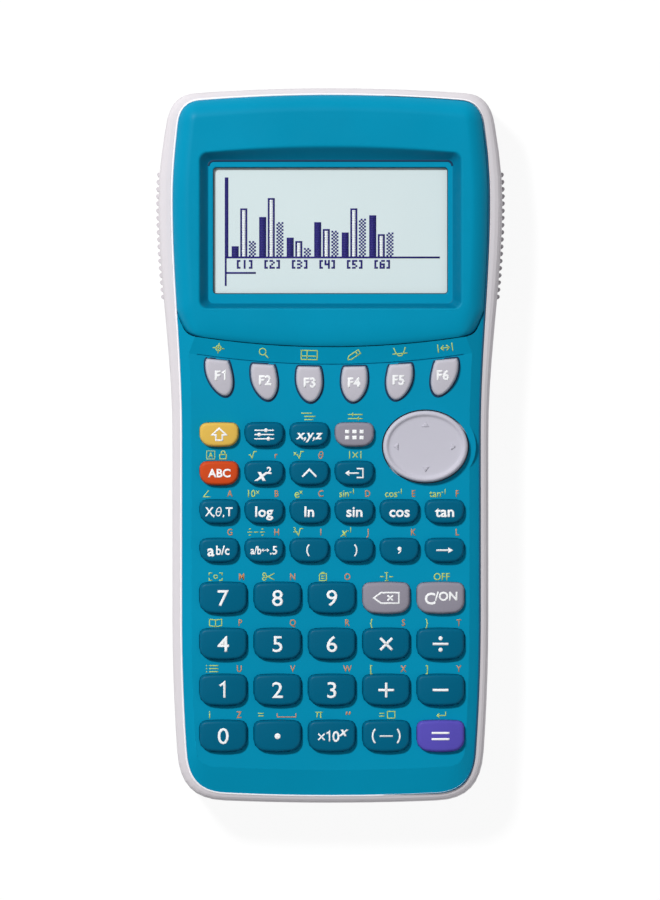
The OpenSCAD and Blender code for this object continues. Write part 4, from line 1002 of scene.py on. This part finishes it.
# The words also have a size
WORDS_IN_YELLOW = [
    ("log", "10", -2.95, 1), ("ln", "e", -2.9, 1.25), ("sin", "sin", -2.4, 1),
    ("cos", "cos", -1.95, 1), ("tan", "tan", -2.2, 1), ("close_bracket", "x", -2.4, 1.25),
    ("multiply", "{", -3.5, 0.95), ("divide", "}", -3.2, 0.95), ("plus", "[", -3.5, 0.95),
    ("minus", "]", -3.2, 0.95), ("0", "i", -3.2, 1.05), ("on_clear", "OFF", 0.3, 1),
]
RAISED_IN_YELLOW = [
    ("log", "x", -1.55), ("ln", "x", -1.95), ("sin", "-1", -0.6), ("cos", "-1", 0.05),
    ("tan", "-1", -0.25), ("close_bracket", "-1", -1.25), ("power", "x", -3.35),
    ("open_bracket", "3", -3.45),
]
# The letters r and A to Z, over their keys in turn
LETTERS = "rABCDEFGHIJKLMNOPQRSTUVWXYZ"
LETTER_KEYS = ["square", *" ".join(SMALL_ROWS[2:]).split(), *"789456", "multiply", "divide",
               *"123", "plus", "minus", "0"]
LETTER_SHIFTS = [2.8, 2.5, 2.9, 2.7, 3.1, 3.3, 3.0, 2.5, 2.9, 2.7, 3.1, 3.3, 3.0, 4.3, 3.55,
                 3.65, 4.0, 3.55, 3.65, 4.05, 4.3, 3.75, 3.55, 3.65, 4.05, 4.3, 3.7]
OVER_SMALL, OVER_LARGE = 4.25, 4.98


def over(name, dx=0, dy=0):
    """The place of a label over a key."""
    small = any(name in row.split() for row in SMALL_ROWS)
    return places[name].x + dx, places[name].y + (OVER_SMALL if small else OVER_LARGE) + dy


for name, kind, dx in OVER_IN_YELLOW:
    yellow.sign(kind, *over(name, dx), 1.02)
for name, words, dx, size in WORDS_IN_YELLOW:
    yellow.move(*over(name, dx))
    yellow.text(words, LABEL_CAP * size, 0.92, 0.012, slant=0.3 if words == "x" else 0)
for name, words, dx in RAISED_IN_YELLOW:
    yellow.move(*over(name, dx, 0.5))
    yellow.text(words, 0.72 * LABEL_CAP, 0.9, 0.014)
for name, letter, dx in zip(LETTER_KEYS, LETTERS, LETTER_SHIFTS, strict=True):
    orange.move(*over(name, dx))
    orange.text(letter, 0.92 * LABEL_CAP, 0.84, 0.016)
yellow.move(*over("alpha", -2.0))
yellow.line([(-0.95, 0.95), (0.95, 0.95), (0.95, -0.95), (-0.95, -0.95)], 0.16, closed=True)
yellow.text("A", 1.2, 0.9, 0.014)
orange.move(*over("power", 2.7))
orange.theta(LABEL_CAP, 0.22)
orange.sign("space", *over("point", 2.1), 1.1)
for dx in (3.4, 4.1):
    orange.move(*over("exponent", dx))
    orange.line([(0.12, 0.75), (0.12, 0.3), (-0.12, 0)], 0.36)
around_keys = surface_of(nodes["front_casing"], bezel)
yellow.lay("signs_yellow", around_keys, yellow_ink, lift=0.03, thick=0.05)
orange.lay("letters_orange", around_keys, orange_ink, lift=0.03, thick=0.05)


# ---------------- the figure on the display

# The display's grid of 128 by 64 cells: its pitch in millimetres, the cells between the
# figure's corner and the window's middle, and the row on which the bars stand
PITCH, CELLS_LEFT, CELLS_BELOW, FOOT = 0.404, 61.4, 32.05, 17
# Each group of bars: the heights of the solid, the open and the chequered one, and its digit
GROUPS = [((6, 28, 9), "010 010 010 010 010"), ((23, 34, 20), "110 001 010 100 111"),
          ((11, 9, 5), "110 001 110 001 110"), ((20, 16, 15), "101 101 111 001 001"),
          ((14, 28, 22), "111 100 110 001 110"), ((24, 13, 14), "011 100 111 101 111")]


def block(cells, x0, y0, x1, y1):
    cells |= {(x, y) for x in range(x0, x1) for y in range(y0, y1)}


def figure_cells():
    """A bar chart on two axes, as the cells that are dark and the ones that are light."""
    dark, light = set(), set()
    block(dark, 0, 0, 1, FOOT)
    block(dark, 0, FOOT, 2, 63)
    block(dark, 1, FOOT - 1, 125, FOOT)
    block(dark, 1, 7, 18, 8)
    for group, (heights, digit) in enumerate(GROUPS):
        x = 4 + 16 * group
        solid, open_bar, chequer = (FOOT + height for height in heights)
        block(dark, x, FOOT, x + 4, solid)
        block(light, x + 5, FOOT, x + 9, open_bar)
        for side in (5, 8):
            block(dark, x + side, FOOT, x + side + 1, open_bar)
        block(dark, x + 5, open_bar - 1, x + 9, open_bar)
        dark |= {(i, j) for i in range(x + 10, x + 14) for j in range(FOOT, chequer)
                 if (i + j) % 2}
        for row, bits in enumerate(digit.split()):
            dark |= {(x + 6 + i, 14 - row) for i, bit in enumerate(bits) if bit == "1"}
        for side in (3, 11):
            block(dark, x + side, 10, x + side + 1, 15)
        dark |= {(x + i, j) for i in (4, 10) for j in (10, 14)}
    return dark, light - dark


def lay_cells(name, cells, material, spread, rise):
    """Cells as one print on the display, in rows that spread by a share of a cell."""
    low, high = span("display_window")
    left = (low.x + high.x) / 2 - CELLS_LEFT * PITCH
    base = (low.y + high.y) / 2 - CELLS_BELOW * PITCH
    z = span("lcd_panel")[1].z + rise
    points, faces = [], []
    for x, y in sorted(cells):
        if (x - 1, y) in cells:
            continue
        end = x + 1
        while (end, y) in cells:
            end += 1
        x0, x1 = left + (x - spread) * PITCH, left + (end + spread) * PITCH
        y0, y1 = base + (y - spread) * PITCH, base + (y + 1 + spread) * PITCH
        faces.append(tuple(range(len(points), len(points) + 4)))
        points += [(x0, y0, z), (x1, y0, z), (x1, y1, z), (x0, y1, z)]
    thicken(new_piece(name, points, faces, material, slot="lcd_glass"), 0.02)


dark_cells, light_cells = figure_cells()
lay_cells("figure_dark", dark_cells, navy_segments, 0.05, 0.03)
lay_cells("figure_light", light_cells, white_segments, 0.02, 0.022)


# ---------------- floor, light and camera

FLOOR_REACH, FLOOR_GAP = 1.6, 0.02 * MM
PAPER_GLOW, PAPER_SHARE, ROOM_LIGHT = 1.04, 0.88, 0.22
CAMERA_RISE, SEEN_HEIGHT, SENSOR = 2.4, 211.35 * MM, 24


def seen_share(tree):
    """1 for what the eye, metal and glass see, 0 for what lights the object."""
    rays = add_node(tree, "ShaderNodeLightPath")
    eye, metals, glass = (Level(rays, f"Is {kind} Ray")
                          for kind in ("Camera", "Glossy", "Transmission"))
    return (eye + metals + glass).spread(0, 1)


def paper():
    """Plain paper that looks white and keeps the object's shadow."""
    sheet = Finish("paper", Base_Color=(0.9, 0.9, 0.9, 1), Roughness=0.9,
                   Specular_IOR_Level=0.1)
    links = sheet.tree.links
    glow = add_node(sheet.tree, "ShaderNodeEmission", Color=(1, 1, 1, 1), Strength=PAPER_GLOW)
    both = add_node(sheet.tree, "ShaderNodeMixShader", i0=PAPER_SHARE * seen_share(sheet.tree))
    links.new(sheet.shader.outputs[0], both.inputs[1])
    links.new(glow.outputs[0], both.inputs[2])
    links.new(both.outputs[0], sheet.tree.nodes["Material Output"].inputs[0])
    return sheet.material


def lamp(name, place, size, power):
    """A square lamp that shines on the middle of the object."""
    data = bpy.data.lights.new(name, "AREA")
    data.size = size
    data.energy = power
    put(name, data, place).rotation_euler = (-Vector(place)).to_track_quat("-Z", "Y").to_euler()


def studio():
    """A floor of paper, a plain pale room and two lamps."""
    floor_mesh = bpy.data.meshes.new("floor")
    corners = [(-1, -1), (1, -1), (1, 1), (-1, 1)]
    floor_mesh.from_pydata([(x * FLOOR_REACH, y * FLOOR_REACH, -FLOOR_GAP) for x, y in corners],
                           [], [(0, 1, 2, 3)])
    floor_mesh.materials.append(paper())
    put("floor", floor_mesh)

    room = bpy.data.worlds.new("studio")
    room.use_nodes = True
    bpy.context.scene.world = room
    back = room.node_tree.nodes["Background"]
    back.inputs["Color"].default_value = (0.95, 0.97, 1, 1)
    light = ROOM_LIGHT + (1 - ROOM_LIGHT) * seen_share(room.node_tree)
    room.node_tree.links.new(light.socket, back.inputs["Strength"])

    lamp("key_light", (-0.6, 0.7, 1.1), 0.2, 19)
    lamp("fill_light", (0.9, -0.5, 0.9), 0.8, 1.6)


def camera():
    """Straight above the keys, far enough away that the sides stay out of sight."""
    data = bpy.data.cameras.new("camera")
    data.sensor_fit = "VERTICAL"
    data.sensor_height = SENSOR
    data.lens = SENSOR * CAMERA_RISE / SEEN_HEIGHT
    data.clip_end = 20
    bpy.context.scene.camera = put("camera", data, (-0.1 * MM, -1.06 * MM,
                                                    CAMERA_RISE + 17 * MM))


studio()
camera()
bpy.context.scene.view_settings.view_transform = "Standard"
